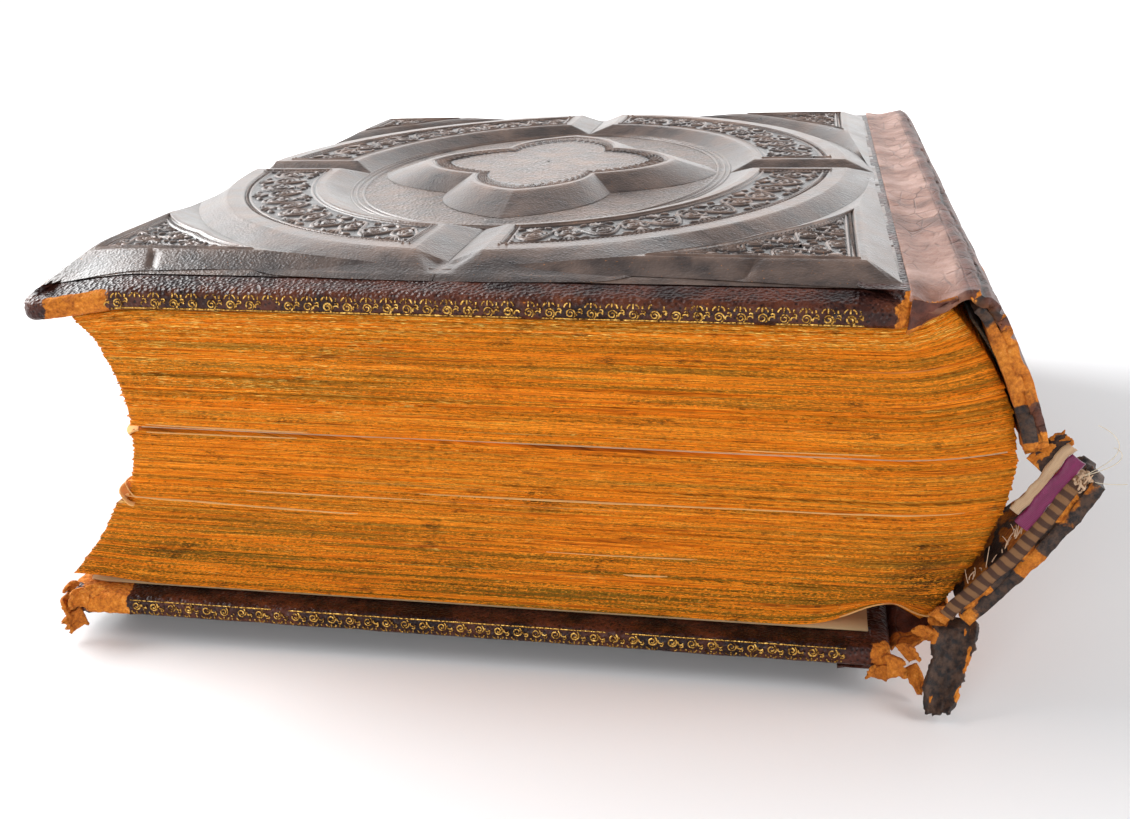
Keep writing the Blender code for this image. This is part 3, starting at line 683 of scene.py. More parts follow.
def corner_panel(side, number, side_x, side_y, material):
    """A corner panel: bevelled sides, a framed field of leaf scrolls and a dart in its end bevel."""
    step = FINE[side]
    count = int(260 * 0.42 / step) + 40
    corner, curve = corner_sides(side_x, side_y, 0.0)
    low_corner, low_curve = corner_sides(side_x, side_y, CORNER_RUN)
    top_parts = [np.linspace(corner, curve[0], count), resampled(curve, count),
                 np.linspace(curve[-1], corner, count)]
    low_parts = [np.linspace(low_corner, low_curve[0], count), resampled(low_curve, count),
                 np.linspace(low_curve[-1], low_corner, count)]
    top = np.concatenate([part[:-1] for part in top_parts])
    low = np.concatenate([part[:-1] for part in low_parts])
    sides = [np.linalg.norm(curve[0] - curve[-1]), np.linalg.norm(corner - curve[-1]),
             np.linalg.norm(corner - curve[0])]
    heart = (corner * sides[0] + curve[0] * sides[1] + curve[-1] * sides[2]) / sum(sides)
    heart = heart + (corner - heart) * 0.12
    radius = abs(heart[1] - corner[1])
    inner = np.linspace(0.02, 1.0, int(radius / step * 1.6))[:, None, None]
    face = heart + (top - heart) * inner
    beyond = np.linspace(0.0, 1.0, SKIRT_ROWS + 1)[1:, None, None]
    skirt = top + (low - top) * beyond
    flat = np.concatenate([face, skirt])
    x, y = flat[..., 0], flat[..., 1]
    distance = np.concatenate([(1 - inner[:, 0, 0]) * radius, -beyond[:, 0, 0] * CORNER_RUN])[:, None]
    drop = bevel_drop(-distance, CORNER_RUN, PANEL_LEVEL - FIELD_LEVEL) + 0 * x
    along = np.arange(len(top)) * (sum(sides) / len(top))
    distance = distance + 0 * x
    inside = smooth(1.5, 2.0, distance)
    scroll = sample_tile(SCROLL, (x * 0.8 + y * 0.6) * 1.35, ((y * 0.8 - x * 0.6) * 1.35) % 19.0 + 0.5)
    scroll = scroll * smooth(4.6, 5.2, distance)
    lines = np.maximum(ridge(distance, 1.8, 0.38, 0.6), ridge(distance, 4.2, 0.38, 0.6))
    dots = beads(distance, along, 3.0, 1.5, 0.58, 0.6)
    relief = np.maximum(np.maximum(scroll, lines), dots)
    dart_x = RING_CENTRE[0] + side_x * 82.0
    dart = 0.9 * np.exp(-((x - dart_x + (abs(y) - 146) * 0.25 * side_x) / 0.9) ** 2)
    dart = dart * smooth(0.0, -1.5, distance) * (np.abs(y) > BOARD_HEIGHT / 2 - CORNER_INSET[1])
    level = PANEL_LEVEL - drop - inside * GROUND + relief * (inside > 0) - dart
    level = level + 0.3 * (rough_noise(x / 20, y / 20, 51 + number) - 0.5)
    x, y, level = meet_rim(x, y, level)
    points = board_place(side, x, y, level)
    proud = np.where(inside > 0.2, relief - 0.25, 0.28 * smooth(1.2, -0.6, drop))
    rows, columns = x.shape
    faces = grid_faces(rows, columns, wrap=True)
    if side_x * side_y > 0:
        faces = faces[:, ::-1]
    looks = {"worn": wear_of(proud, x, y, 9).ravel(), "stipple": 0.0, "torn": 0.0}
    mesh_piece(f"{side}_corner_relief_{number}", points, facing(side, faces), material, side_body(side),
               attributes=looks, replaces=[f"{side}_corner_panel_{number}"])


CENTRE = np.array([-3.0, 4.8])
LOBE_NOTCH = (21.3, 30.5)
SIDE_TIP = (46.5, 0.0)
END_TIP = (0.0, 64.5)
LOBE_BULGES = (0.13, 0.15)    # how far the lobes' sides bow out, as shares of their chords
CENTRE_SPREAD = 1.33


def bowed(start, end, bulge, count):
    """An arc from start to end that bows to its right by a share of its chord."""
    start, end = np.array(start), np.array(end)
    chord = end - start
    share = np.linspace(0.0, 1.0, count)[:, None]
    aside = np.array([chord[1], -chord[0]])
    return start + chord * share + aside * bulge * 4 * share * (1 - share)


def lobed_outline(count):
    """The centre panel's outline about its centre: four pointed lobes with bowed sides."""
    first = resampled(bowed(SIDE_TIP, LOBE_NOTCH, LOBE_BULGES[0], 40), count)
    second = resampled(bowed(LOBE_NOTCH, END_TIP, LOBE_BULGES[1], 40), count)
    quarter = np.concatenate([first[:-1], second[:-1]])
    other = np.concatenate([[END_TIP], quarter[:0:-1] * (-1, 1)])
    half = np.concatenate([quarter, other])
    return np.concatenate([half, -half])


def centre_panel(side, material):
    """The four-lobed centre: a plain rim, a band of small leaves and a stippled middle, on long bevels."""
    step = FINE[side]
    quarter_steps = int(62 * 0.5 / step) + 12
    outline = lobed_outline(quarter_steps)
    top_level = CENTRE_LEVELS[side]
    radius = 44.5
    inner = np.concatenate([np.linspace(0.02, 0.76, 14)[:-1], np.linspace(0.76, 1.0, int(12.0 / step))])
    beyond = np.linspace(1.0, CENTRE_SPREAD, 14)[1:]
    scale = np.concatenate([inner, beyond])[:, None]
    x = CENTRE[0] + outline[:, 0] * scale
    y = CENTRE[1] + outline[:, 1] * scale
    distance = (1 - scale) * radius + 0 * x
    length = np.concatenate([[0], np.cumsum(np.hypot(*np.diff(outline, axis=0).T))])
    along = length + 0 * x
    depth = top_level - FIELD_LEVEL
    drop = bevel_drop(-distance, (CENTRE_SPREAD - 1) * radius, depth, 0.6)
    inside = smooth(1.9, 2.4, distance)
    leaf_turn = np.abs((along / 4.3) % 1.0 - 0.5) * 2
    fringe = smooth(9.8 - 2.6 * leaf_turn, 8.8 - 2.6 * leaf_turn, distance) * smooth(3.4, 3.9, distance)
    veins = 0.5 + 0.5 * np.cos(2 * np.pi * (along / 1.43 + distance / 3.0))
    holes = 0.5 + 0.5 * np.cos(2 * np.pi * distance / 2.1) * np.cos(2 * np.pi * along / 2.15)
    band = fringe * (0.10 + 0.40 * veins * holes + 0.25 * holes)
    band = np.maximum(band, ridge(distance, 2.7, 0.4, 0.6))
    level = top_level - drop - 0.55 * inside + band
    uneven = 0.3 * (rough_noise(x / 24, y / 24, 77) - 0.5) * smooth(-2.0, 4.0, distance)
    points = board_place(side, x, y, level + uneven)
    proud = np.where(distance > 9.8, 0.32, band - 0.2)
    proud = np.where(inside > 0.2, proud, 0.42 * smooth(1.4, -0.6, drop))
    stippled = smooth(9.2, 10.2, distance)
    looks = {"worn": wear_of(proud, x, y, 12).ravel(), "stipple": stippled.ravel(), "torn": 0.0}
    mesh_piece(f"{side}_centre_relief", points, facing(side, grid_faces(*x.shape, wrap=True)), material,
               side_body(side), attributes=looks, replaces=[f"{side}_centre_panel"])


# cracks across the board leather by the joint: place along y and tilt
JOINT_CRACKS = ((-118.0, 0.55), (-96.0, -0.3), (-60.0, 0.5), (-24.0, 0.7), (38.0, 0.4), (92.0, -0.6))


def board_field(side, material):
    """The leather between the panels: V-shaped valleys and the stippled oval floor with its double line."""
    x, y = np.meshgrid(np.linspace(BOARD_LEFT + 4.5, BOARD_RIGHT - 2.5, 230),
                       np.linspace(BOARD_NEAR + 9, BOARD_FAR - 9, 320))
    level = np.minimum(FIELD_LEVEL - 0.12, border_level(x, y) - 0.05)
    joint = smooth(102.0, 106.0, x)
    level += (0.2 + 0.5 * joint) * (rough_noise(x / 15, y / 15, 91) - 0.5)
    level += 0.5 * joint * (rough_noise((x + y * 0.4) / 9, y / 30, 93) - 0.5)
    seam = RING_CENTRE[1] + 3 * (rough_noise(x / 9, 0 * x, 95) - 0.5)
    for place, tilt in JOINT_CRACKS:
        level -= 0.9 * joint * np.exp(-((y - place - seam * 0.3 - tilt * (x - 110)) / 0.5) ** 2)
    floor = np.array(RING_INNER) - INNER_RUN
    out = np.hypot((x - RING_CENTRE[0]) / floor[0], (y - RING_CENTRE[1]) / floor[1])
    stippled = smooth(0.96, 0.94, out)
    worn = wear_of(0.12 + 0.1 * stippled, x, y, 15)
    points, faces = board_place(side, x, y, level), facing(side, grid_faces(*x.shape))
    mesh_piece(side + "_board_field", points, faces, material, side_body(side),
               attributes={"worn": worn.ravel(), "stipple": stippled.ravel(), "torn": 0.0})
    parts = []
    for spread in (0.4, 2.2, 4.6):
        turn = np.linspace(0.0, 2 * np.pi, 361)
        line_x = RING_CENTRE[0] + (floor[0] - spread) * np.cos(turn)
        line_y = RING_CENTRE[1] + (floor[1] - spread) * np.sin(turn)
        line = board_place(side, line_x, line_y, FIELD_LEVEL - 0.1)
        outward = np.array([0.0, 0.0, 1.0 if side == "upper" else -1.0])
        parts.append(ribbon(line, 0.9, outward, 0.45))
    points, faces = joined(parts)
    mesh_piece(side + "_floor_lines", points, faces, material, side_body(side),
               attributes={"worn": 0.4, "stipple": 0.0, "torn": 0.0})


RIM_PROFILE = ((13.5, 9.3), (12.0, 8.95), (10.0, 8.35), (8.0, 7.75), (6.0, 7.2), (4.2, 6.75), (2.8, 6.4),
               (1.6, 5.95), (0.7, 5.35), (0.2, 4.6), (0.0, 3.7), (0.0, 2.7), (0.05, 1.8), (0.3, 1.0),
               (0.9, 0.35), (1.9, 0.0), (4.0, -0.1), (8.0, -0.12), (12.0, -0.1))
RIM_TURN = 12                 # the profile's points that lie on top of the board
CORNER_ROUND = 5.0
FORE_SQUEEZE = 0.42           # how much narrower the slope is at the fore-edge
JOINT_LEVEL = 8.8


def rim_path(step):
    """Points round the board with outward directions: near, spine, far and fore-edge sides."""
    half_x, half_y = BOARD_WIDTH / 2 - CORNER_ROUND, BOARD_HEIGHT / 2 - CORNER_ROUND
    corners = ((half_x, -half_y), (half_x, half_y), (-half_x, half_y), (-half_x, -half_y))
    spots, outs = [], []
    for corner, (x, y) in enumerate(corners):
        turn = np.linspace(-math.pi / 2, 0.0, 9) + corner * math.pi / 2
        spots.append(np.stack([x + 0 * turn, y + 0 * turn], 1))
        outs.append(np.stack([np.cos(turn), np.sin(turn)], 1))
        next_x, next_y = corners[(corner + 1) % 4]
        run = math.hypot(next_x - x, next_y - y)
        between = np.linspace(0.0, 1.0, int(run / step))[1:-1, None]
        spots.append(np.array([[x, y]]) * (1 - between) + np.array([[next_x, next_y]]) * between)
        outs.append(np.repeat(outs[-1][-1:], len(between), 0))
    return np.concatenate(spots), np.concatenate(outs)


def rim_wear(side, x, y, level):
    """How torn the rim is at a place: most at the fore-edge corners, then at the joint's ends."""
    near_left = np.hypot(x - BOARD_LEFT, y - BOARD_NEAR)
    far_left = np.hypot(x - BOARD_LEFT, y - BOARD_FAR)
    near_right = np.hypot(x - BOARD_RIGHT, y - BOARD_NEAR)
    far_right = np.hypot(x - BOARD_RIGHT, y - BOARD_FAR)
    reach = 30.0 if side == "upper" else 25.0
    below = 0.30 + 0.70 * smooth(6.4, 5.6, level)
    patch = smooth(reach, reach - 6.0, near_left) * (0.35 + 0.65 * smooth(5.0, 10.0, near_left))
    torn = 0.85 * patch * below + 0.6 * smooth(18.0, 3.0, far_left)
    torn = torn + 0.75 * smooth(9.0, 3.0, near_right) + 0.5 * smooth(12.0, 3.0, far_right)
    return torn


def board_rim(side, material):
    """The border and edge of a board as one moulding swept round it, turned in on the inside."""
    spots, outs = rim_path(0.9)
    profile = np.array(RIM_PROFILE)
    fine = np.linspace(0, len(profile) - 1, 3 * len(profile))
    profile = np.stack([np.interp(fine, np.arange(len(profile)), profile[:, k]) for k in (0, 1)], 1)
    top = smooth(4.0, 5.2, profile[:, 1])[:, None]
    fore, joint = np.clip(-outs[:, 0], 0, 1) ** 2, np.clip(outs[:, 0], 0, 1) ** 6
    out_by = CORNER_ROUND - profile[:, :1] * (1 - (1 - FORE_SQUEEZE) * fore * top)
    x = spots[:, 0] + outs[:, 0] * out_by
    y = spots[:, 1] + outs[:, 1] * out_by
    flat = np.minimum(JOINT_LEVEL, profile[:, 1] + 6.0 * smooth(3.0, 5.0, profile[:, 1]))[:, None]
    level = profile[:, 1:] * (1 - joint * top) + np.maximum(flat, profile[:, 1:]) * joint * top
    length = np.concatenate([[0], np.cumsum(np.hypot(*np.diff(spots + outs, axis=0).T))])
    rows = np.arange(len(profile))[:, None]
    lumps = rough_noise(length / 9 + 0 * x, rows / 9.0, 101 if side == "upper" else 131) - 0.5
    torn = rim_wear(side, x, y, level)
    frayed = rough_noise(length / 1.7 + 0 * x, rows / 2.5, 111) - 0.5
    push = 0.5 * lumps + torn * (1.6 * frayed + 0.3)
    flare = smooth(0.0, 3.0, level) * smooth(9.2, 7.5, level)
    x = x + outs[:, 0] * push * flare
    y = y + outs[:, 1] * push * flare
    level = level + (0.3 * lumps + 0.8 * torn * frayed) * smooth(14.0, 8.0, profile[:, 0])[:, None]
    level = level - 0.8 * (smooth(8.0, 9.5, profile[:, 0]) * (profile[:, 1] > 4.0))[:, None] * (1 - joint)
    # painted highlight: a lighter band on the rounded ridge above the gold roll, mixed with wear patches and
    # rubbing at the bottom edge
    ridge_highlight_and_wear = 0.30 * smooth(2.2, 0.6, np.abs(level - 5.2))
    ridge_highlight_and_wear = ridge_highlight_and_wear + 0.25 * rough_noise(length / 30 + 0 * x, 0 * x, 17)
    ridge_highlight_and_wear = ridge_highlight_and_wear + 0.22 * smooth(1.2, 0.2, level)
    points, faces = board_place(side, x, y, level), facing(side, grid_faces(*x.shape, wrap=True))
    # the rim's worn values carry the painted ridge highlight as well as its wear
    mesh_piece(side + "_board_rim", points, faces, material, side_body(side),
               attributes={"worn": ridge_highlight_and_wear.ravel(), "torn": torn.ravel()},
               replaces=[side + "_cover_leather"])


def arc(x, y, radius, first, last, count=12):
    turn = np.linspace(math.radians(first), math.radians(last), count)
    return np.stack([x + radius * np.cos(turn), y + radius * np.sin(turn)], 1)


def roll_strokes():
    """One repeat of the gold edge roll: a C-scroll, a small curl and a row of three-pointed tufts."""
    spiral_turn = np.linspace(math.radians(-60), math.radians(500), 26)
    spiral_reach = np.linspace(1.35, 0.35, 26)
    spiral = np.stack([2.0 + spiral_reach * np.cos(spiral_turn),
                       1.75 + spiral_reach * np.sin(spiral_turn)], 1)
    return [spiral, arc(4.3, 1.5, 0.75, 200, 20), arc(4.5, 2.5, 0.5, -60, 150),
            np.array([(0.0, 0.25), (5.3, 0.25)]), np.array([(0.4, 3.35), (0.7, 4.1), (1.3, 4.35)]),
            np.array([(1.9, 3.3), (1.9, 4.5)]), np.array([(3.4, 3.35), (3.1, 4.1), (2.5, 4.35)]),
            np.array([(4.3, 3.4), (4.3, 4.1)])]


ROLL_PITCH = 5.3
ROLL_FOOT = 0.55
ROLL_START = 6.0              # how far from a corner of the board the roll starts


def gold_roll(side, material):
    """The gold roll along the tail, head and fore-edge of a board, with worn gaps."""
    profile = np.array(RIM_PROFILE)[::-1]
    outer = (profile[:, 0] < 3.5) & (profile[:, 1] < 6.6)
    heights, insets = profile[outer, 1], profile[outer, 0]
    parts = []
    half_x, half_y = BOARD_WIDTH / 2, BOARD_HEIGHT / 2
    random = np.random.default_rng(5 if side == "upper" else 6)
    runs = (((ROLL_START - half_x, -half_y), (1, 0), (0, -1), BOARD_WIDTH - ROLL_START - 8.0),
            ((ROLL_START - half_x, half_y), (1, 0), (0, 1), BOARD_WIDTH - ROLL_START - 8.0),
            ((-half_x, ROLL_START - half_y), (0, 1), (-1, 0), BOARD_HEIGHT - 2 * ROLL_START))
    for origin, forward, outward, length in runs:
        for number in range(int(length / ROLL_PITCH)):
            for line in roll_strokes():
                count = max(3, int(np.hypot(*np.diff(line, axis=0).T).sum() / 0.35))
                line = resampled(line, count)
                along = number * ROLL_PITCH + line[:, 0]
                height = ROLL_FOOT + line[:, 1]
                inset = np.interp(height, heights, insets)
                x = origin[0] + forward[0] * along - outward[0] * (inset - 0.28)
                y = origin[1] + forward[1] * along - outward[1] * (inset - 0.28)
                keep = rough_noise(along / 7.0, height / 5 + 9, 41).mean() + 0.3 * random.random()
                if keep - 0.5 * rim_wear(side, x, y, height).mean() < 0.40:
                    continue
                placed = board_place(side, x, y, height)
                parts.append(ribbon(placed, 0.30 + 0.16 * random.random(), np.array([*outward, 0.0]), 0.08))
    points, faces = joined(parts)
    mesh_piece(side + "_gold_roll", points, faces, material, side_body(side))


def make_board(side, leather, border, gold):
    for quarter in range(4):
        ring_panel(side, quarter, leather)
    for number, (side_x, side_y) in enumerate(((1, 1), (-1, 1), (-1, -1), (1, -1)), 1):
        corner_panel(side, number, side_x, side_y, leather)
    centre_panel(side, leather)
    board_field(side, leather)
    board_rim(side, border)
    gold_roll(side, gold)


# leaves

LEAF_TOP = 96.2
SHOULDER_LOW, SHOULDER_HIGH = 15.8, 102.0
SHOULDER_START = 112.0
SPINE_X = 124.8
SPINE_BULGE = 20.6
SPINE_MIDDLE = 62.0
SPINE_REACH = {"below": (46.0, 1.6), "above": (41.0, 2.0)}
FORE_EDGE_X = -92.3
FORE_EDGE_PROUD = {"below": 20.7, "above": 14.0}
WAIST = 0.56
STEP_SHARE = 0.30
STEP_OUT = 3.0
LEAF_PITCH = 0.30
FOLIO = {1: (0.0, 0.14), 2: (0.14, 0.30), 3: (0.30, 0.44), 4: (0.44, 0.575),
         5: (0.59, 0.72), 6: (0.72, 0.86), 7: (0.86, 1.0)}


def spine_edge(z):
    below = z < SPINE_MIDDLE
    reach = np.where(below, SPINE_REACH["below"][0], SPINE_REACH["above"][0])
    power = np.where(below, SPINE_REACH["below"][1], SPINE_REACH["above"][1])
    return SPINE_X + SPINE_BULGE * (1 - (np.abs(z - SPINE_MIDDLE) / reach) ** power)


def fore_edge(share):
    """The hollow fore-edge, with the lowest gatherings standing further out."""
    below = share < WAIST
    proud = np.where(below, FORE_EDGE_PROUD["below"], FORE_EDGE_PROUD["above"])
    run = np.where(below, WAIST, 1 - WAIST)
    return FORE_EDGE_X - proud * ((share - WAIST) / run) ** 2 - STEP_OUT * (share < STEP_SHARE)


def leaf_lift(x, y, share):
    """How far leaves have sprung from their places: the lowest at the joint end and at the fore-edge."""
    hump = 8.2 * np.exp(-((x - 117) / np.where(x < 117, 13.0, 7.0)) ** 2)
    hump = hump * np.clip(1 - share / 0.16, 0, 1) ** 1.6
    curl = 1.6 * smooth(-88.0, -112.0, x) * np.clip(1 - share / 0.3, 0, 1)
    near = smooth(70.0, 0.0, y - BLOCK_NEAR)
    return (hump + curl) * near


def leaf_place(x, y, share):
    """Points on a leaf at a share of the block's thickness."""
    x, y, share = np.broadcast_arrays(x, y, share)
    shoulder = SHOULDER_LOW + (SHOULDER_HIGH - SHOULDER_LOW) * share
    flat = LEAVES_BOTTOM + (LEAF_TOP - LEAVES_BOTTOM) * share
    reach = spine_edge(shoulder) - SHOULDER_START
    z = flat + (shoulder - flat) * np.clip((x - SHOULDER_START) / reach, 0.0, 1.0) ** 2
    wave = 0.35 * (noise(x / 38, share * 26 + y / 90, 201) - 0.5)
    wave = wave * smooth(0.0, 0.04, share) * smooth(1.0, 0.97, share)
    return settle(np.stack([x, y, z + wave + leaf_lift(x, y, share)], -1))


def leaf_stack(number, material):
    """A stack of leaves: every leaf's edge is two rows of points, moved in or out by its own amount."""
    low, high = FOLIO[number]
    thickness = (high - low) * (LEAF_TOP - LEAVES_BOTTOM)
    leaves = int(thickness / LEAF_PITCH)
    edges = np.linspace(low + 0.0012, high - 0.0012, leaves + 1)
    share = np.stack([edges[:-1] + 0.00025, edges[1:] - 0.00025], 1).reshape(-1, 1)
    leaf = np.repeat(np.arange(leaves), 2)[:, None]
    random = np.random.default_rng(300 + number)
    proud = 0.13 * random.standard_normal(leaves)
    proud += (random.random(leaves) > 0.93) * random.uniform(0.25, 0.7, leaves)
    fringe = np.concatenate([[0.0, 0.01, 0.03], np.linspace(0.05, 0.95, 128), [0.97, 0.99, 1.0]])
    depth = np.concatenate([[0.01, 0.03], np.linspace(0.06, 0.94, 56), [0.97, 0.99]])
    left, right = fore_edge(share), spine_edge(SHOULDER_LOW + (SHOULDER_HIGH - SHOULDER_LOW) * share)
    near_x = left + (right - left) * fringe
    y_run = BLOCK_NEAR + (BLOCK_FAR - BLOCK_NEAR) * depth
    x = np.concatenate([near_x, right + 0 * depth, near_x[:, ::-1], left + 0 * depth], 1)
    y = np.concatenate([BLOCK_NEAR + 0 * near_x, y_run + 0 * right, BLOCK_FAR + 0 * near_x,
                        y_run[::-1] + 0 * left], 1)
    sides = np.concatenate([0 * fringe - 1, 0 * depth, 0 * fringe + 1, 0 * depth])[None, :]
    ends = np.concatenate([(fringe > 0.995) * 1.0 - (fringe < 0.005), 0 * depth + 1,
                           (fringe[::-1] > 0.995) * 1.0 - (fringe[::-1] < 0.005), 0 * depth - 1])[None, :]
    run = np.concatenate([[0], np.cumsum(np.hypot(np.diff(x[0]), np.diff(y[0])))])[None, :]
    out = proud[leaf[:, 0]][:, None] * (0.55 + 0.9 * noise(run / 16, leaf * 1.7, 211))
    out = out + 0.5 * (noise(run / 60, leaf / 14.0, 213) - 0.5)
    out = out + 0.1 * (noise(run / 2.2, leaf * 3.1, 215) - 0.5)
    points = leaf_place(x + out * ends * 0.6, y + out * sides, share)
    u = (run + 0 * x) / 240.0
    v = share + 0 * x
    near = (sides < 0) + 0.6 * (sides >= 0)
    soot = 0.85 * np.exp(-((x - 126) / 9) ** 2 - ((points[..., 2] - 30) / 9) ** 2)
    soot += 0.75 * np.exp(-((x - 24) / 5.5) ** 2 - ((points[..., 2] - 47) / 3.6) ** 2)
    soot += 0.45 * smooth(0.035, 0.0, share) * smooth(-60.0, -100.0, x)
    soot += 0.55 * (rough_noise(x / 7, points[..., 2] / 3.0, 223) > 0.74) * (sides < 0)
    olive = 0.55 + 0.75 * smooth(0.42, 0.1, share)
    olive = olive + 0.35 * smooth(0.66, 0.78, share) * smooth(0.95, 0.85, share)
    bright = 0.35 * smooth(0.90, 0.97, share) + 0.16 * smooth(20.0, -40.0, x) * smooth(0.55, 0.75, share)
    rows, columns = x.shape
    faces = grid_faces(rows, columns, wrap=True)
    across = len(fringe)
    near_index = np.arange(across)
    far_index = np.arange(across)[::-1] + across + len(depth)
    caps = []
    for row, flip in ((0, 1), (rows - 1, -1)):
        first = row * columns
        quad = np.stack([near_index[:-1], far_index[:-1], far_index[1:], near_index[1:]], 1) + first
        caps.append(quad[:, ::flip])
    body = "lower_book" if number < 5 else "upper_leaves"
    faces = np.concatenate([faces, *caps])
    mesh_piece(f"leaf_stack_{number}", points, faces, material, body,
               uv=np.stack([u, v], -1).reshape(-1, 2),
               attributes={"olive": (olive * near + 0 * x).ravel(), "bright": (bright + 0 * x).ravel(),
                           "soot": np.clip(soot, 0, 1).ravel()},
               replaces=[f"leaves_{number}"])


def loose_edge(first, last, share, proud, drift=0.0):
    """The edge of a leaf that stands out of the tail of the block; drift tilts it."""
    count = max(8, int((last - first) / 1.5))
    x = np.linspace(first, last, count)
    along = np.linspace(0.0, 1.0, count)
    out = proud * np.sin(np.pi * along) ** 0.4 * (0.7 + 0.6 * noise(x / 7, 0 * x, int(share * 1000)))
    height = share + drift * along + 0.0012 * (noise(x / 11, 0 * x, int(share * 977)) - 0.5)
    rows = []
    for depth, rise in ((1.5, -0.0009), (-1.0, -0.0012), (-1.05, 0.0012), (1.5, 0.0010)):
        y = BLOCK_NEAR + np.where(depth > 0, depth, -out)
        rows.append(leaf_place(x, y, height + rise))
    return np.stack(rows).reshape(-1, 3), grid_faces(4, count)


def curled_corner(x, y, share, length, width, rise, turn):
    """A leaf's corner that has curled up at the fore-edge."""
    u, v = np.meshgrid(np.linspace(0.0, 1.0, 12), np.linspace(0.0, 1.0, 9), indexing="ij")
    out = u * length * (1 - 0.25 * (2 * v - 1) ** 2)
    plan_x = x - out * math.cos(turn) + (v - 0.5) * width * math.sin(turn)
    plan_y = y - out * math.sin(turn) - (v - 0.5) * width * math.cos(turn)
    base = leaf_place(plan_x, plan_y, share)
    base[..., 2] += rise * u ** 2.2 * (0.7 + 0.5 * v)
    return thick_sheet(base, 0.22)


def thick_sheet(surface, thickness):
    """A closed sheet: a grid of outer points and the same grid moved inwards."""
    rows, columns = surface.shape[:2]
    normal = np.cross(np.gradient(surface, axis=1), np.gradient(surface, axis=0))
    normal /= np.linalg.norm(normal, axis=-1, keepdims=True) + 1e-9
    inner = surface - normal * np.asarray(thickness)[..., None]
    count = rows * columns
    index = np.arange(count).reshape(rows, columns)
    loop = np.concatenate([index[0, :-1], index[:-1, -1], index[-1, :0:-1], index[:0:-1, 0]])
    ahead = np.roll(loop, -1)
    rim = np.stack([ahead, loop, loop + count, ahead + count], 1)
    faces = np.concatenate([grid_faces(rows, columns), grid_faces(rows, columns, count)[:, ::-1], rim])
    return np.concatenate([surface.reshape(-1, 3), inner.reshape(-1, 3)]), faces


def inner_side(values):
    """Attribute values for the inner face of a thick sheet, and 0 for its outer face."""
    return np.concatenate([np.zeros(values.size), np.ravel(values)])


def twice(values):
    """Attribute values for both faces of a thick sheet."""
    return np.concatenate([np.ravel(values), np.ravel(values)])


PAGE_INSET = 2.0


def break_page(name, share, body, material):
    """The page that shows when the book is opened at the break."""
    u, v = np.meshgrid(np.linspace(0.0, 1.0, 60), np.linspace(0.0, 1.0, 60), indexing="ij")
    low = fore_edge(share) + PAGE_INSET
    high = spine_edge(SHOULDER_LOW + (SHOULDER_HIGH - SHOULDER_LOW) * share) - PAGE_INSET
    near, far = BLOCK_NEAR + PAGE_INSET, BLOCK_FAR - PAGE_INSET
    surface = leaf_place(low + (high - low) * u, near + (far - near) * v, share)
    points, faces = thick_sheet(surface, -0.2)
    mesh_piece(name, points, faces[:, ::-1], material, body)


def make_leaves(gilt, paper, page):
    for number in FOLIO:
        leaf_stack(number, gilt)
    break_page("break_page_lower", FOLIO[4][1] + 0.004, "lower_book", page)
    break_page("break_page_upper", FOLIO[5][0] - 0.002, "upper_leaves", page)
    lower = [loose_edge(-10, 134, 0.395, 0.8, 0.012), loose_edge(-97, -28, 0.330, 0.9, -0.02),
             loose_edge(-60, -12, 0.372, 0.35, 0.0), loose_edge(22, 66, 0.212, 0.4, 0.002),
             loose_edge(-88, -44, 0.569, 0.5, 0.003), loose_edge(46, 58, 0.145, 0.7, 0.002),
             loose_edge(104, 129, 0.005, 0.8, 0.03)]
    upper = [loose_edge(-88, -40, 0.597, 0.6, -0.003), loose_edge(76, 112, 0.600, 0.4, 0.003)]
    corners = [curled_corner(-95.5, -155.0, 0.304, 4.6, 16.0, 3.4, 0.3),
               curled_corner(-94.5, -154.0, 0.325, 4.0, 13.0, 3.6, 0.25),
               curled_corner(-94.0, -152.0, 0.35, 3.0, 12.0, 2.0, 0.1),
               curled_corner(-92.0, -156.0, 0.572, 3.4, 9.0, -0.8, 0.4),
               curled_corner(-92.0, -150.0, 0.560, 2.6, 12.0, 0.8, 0.1)]
    for name, parts, body in (("sprung_leaf_edges_lower", lower + corners, "lower_book"),
                              ("sprung_leaf_edges_upper", upper, "upper_leaves")):
        points, faces = joined(parts)
        replaces = ["slipped_leaf"] if body == "lower_book" else []
        mesh_piece(name, points, faces, paper, body, replaces=replaces)


# flat inner pieces of the boards and the endpapers

def settled_slab(name, node, inset, material, body):
    """A CAD slab made again with its edges drawn in and the book's warp."""
    (low_x, high_x), (low_y, high_y), (low_z, high_z) = (span(node, axis) for axis in range(3))
    x, y = np.meshgrid(np.linspace(low_x + inset, high_x - inset, 40),
                       np.linspace(low_y + inset, high_y - inset, 50), indexing="ij")
    corner = smooth(inset * 2 + 4.0, 0.0, np.hypot(x - low_x, y - low_y))
    z = high_z + 0 * x
    surface = settle(np.stack([x + corner, y + corner, z], -1))
    points, faces = thick_sheet(surface, -(high_z - low_z))
    mesh_piece(name, points, faces[:, ::-1], material, body, replaces=[node])


def make_inner_boards(millboard, endpaper):
    for side, body in (("upper", "upper_board"), ("lower", "lower_book")):
        settled_slab(side + "_board_core_aged", side + "_board_core", 2.6, millboard, body)
        settled_slab(side + "_field_pad_aged", side + "_field_pad", 0.5, millboard, body)
        settled_slab(side + "_pastedown_aged", side + "_pastedown", 3.0, endpaper, body)
    settled_slab("upper_flyleaf_aged", "upper_flyleaf", 0.3, endpaper, "upper_leaves")
    settled_slab("lower_flyleaf_aged", "lower_flyleaf", 0.3, endpaper, "lower_book")


# spine

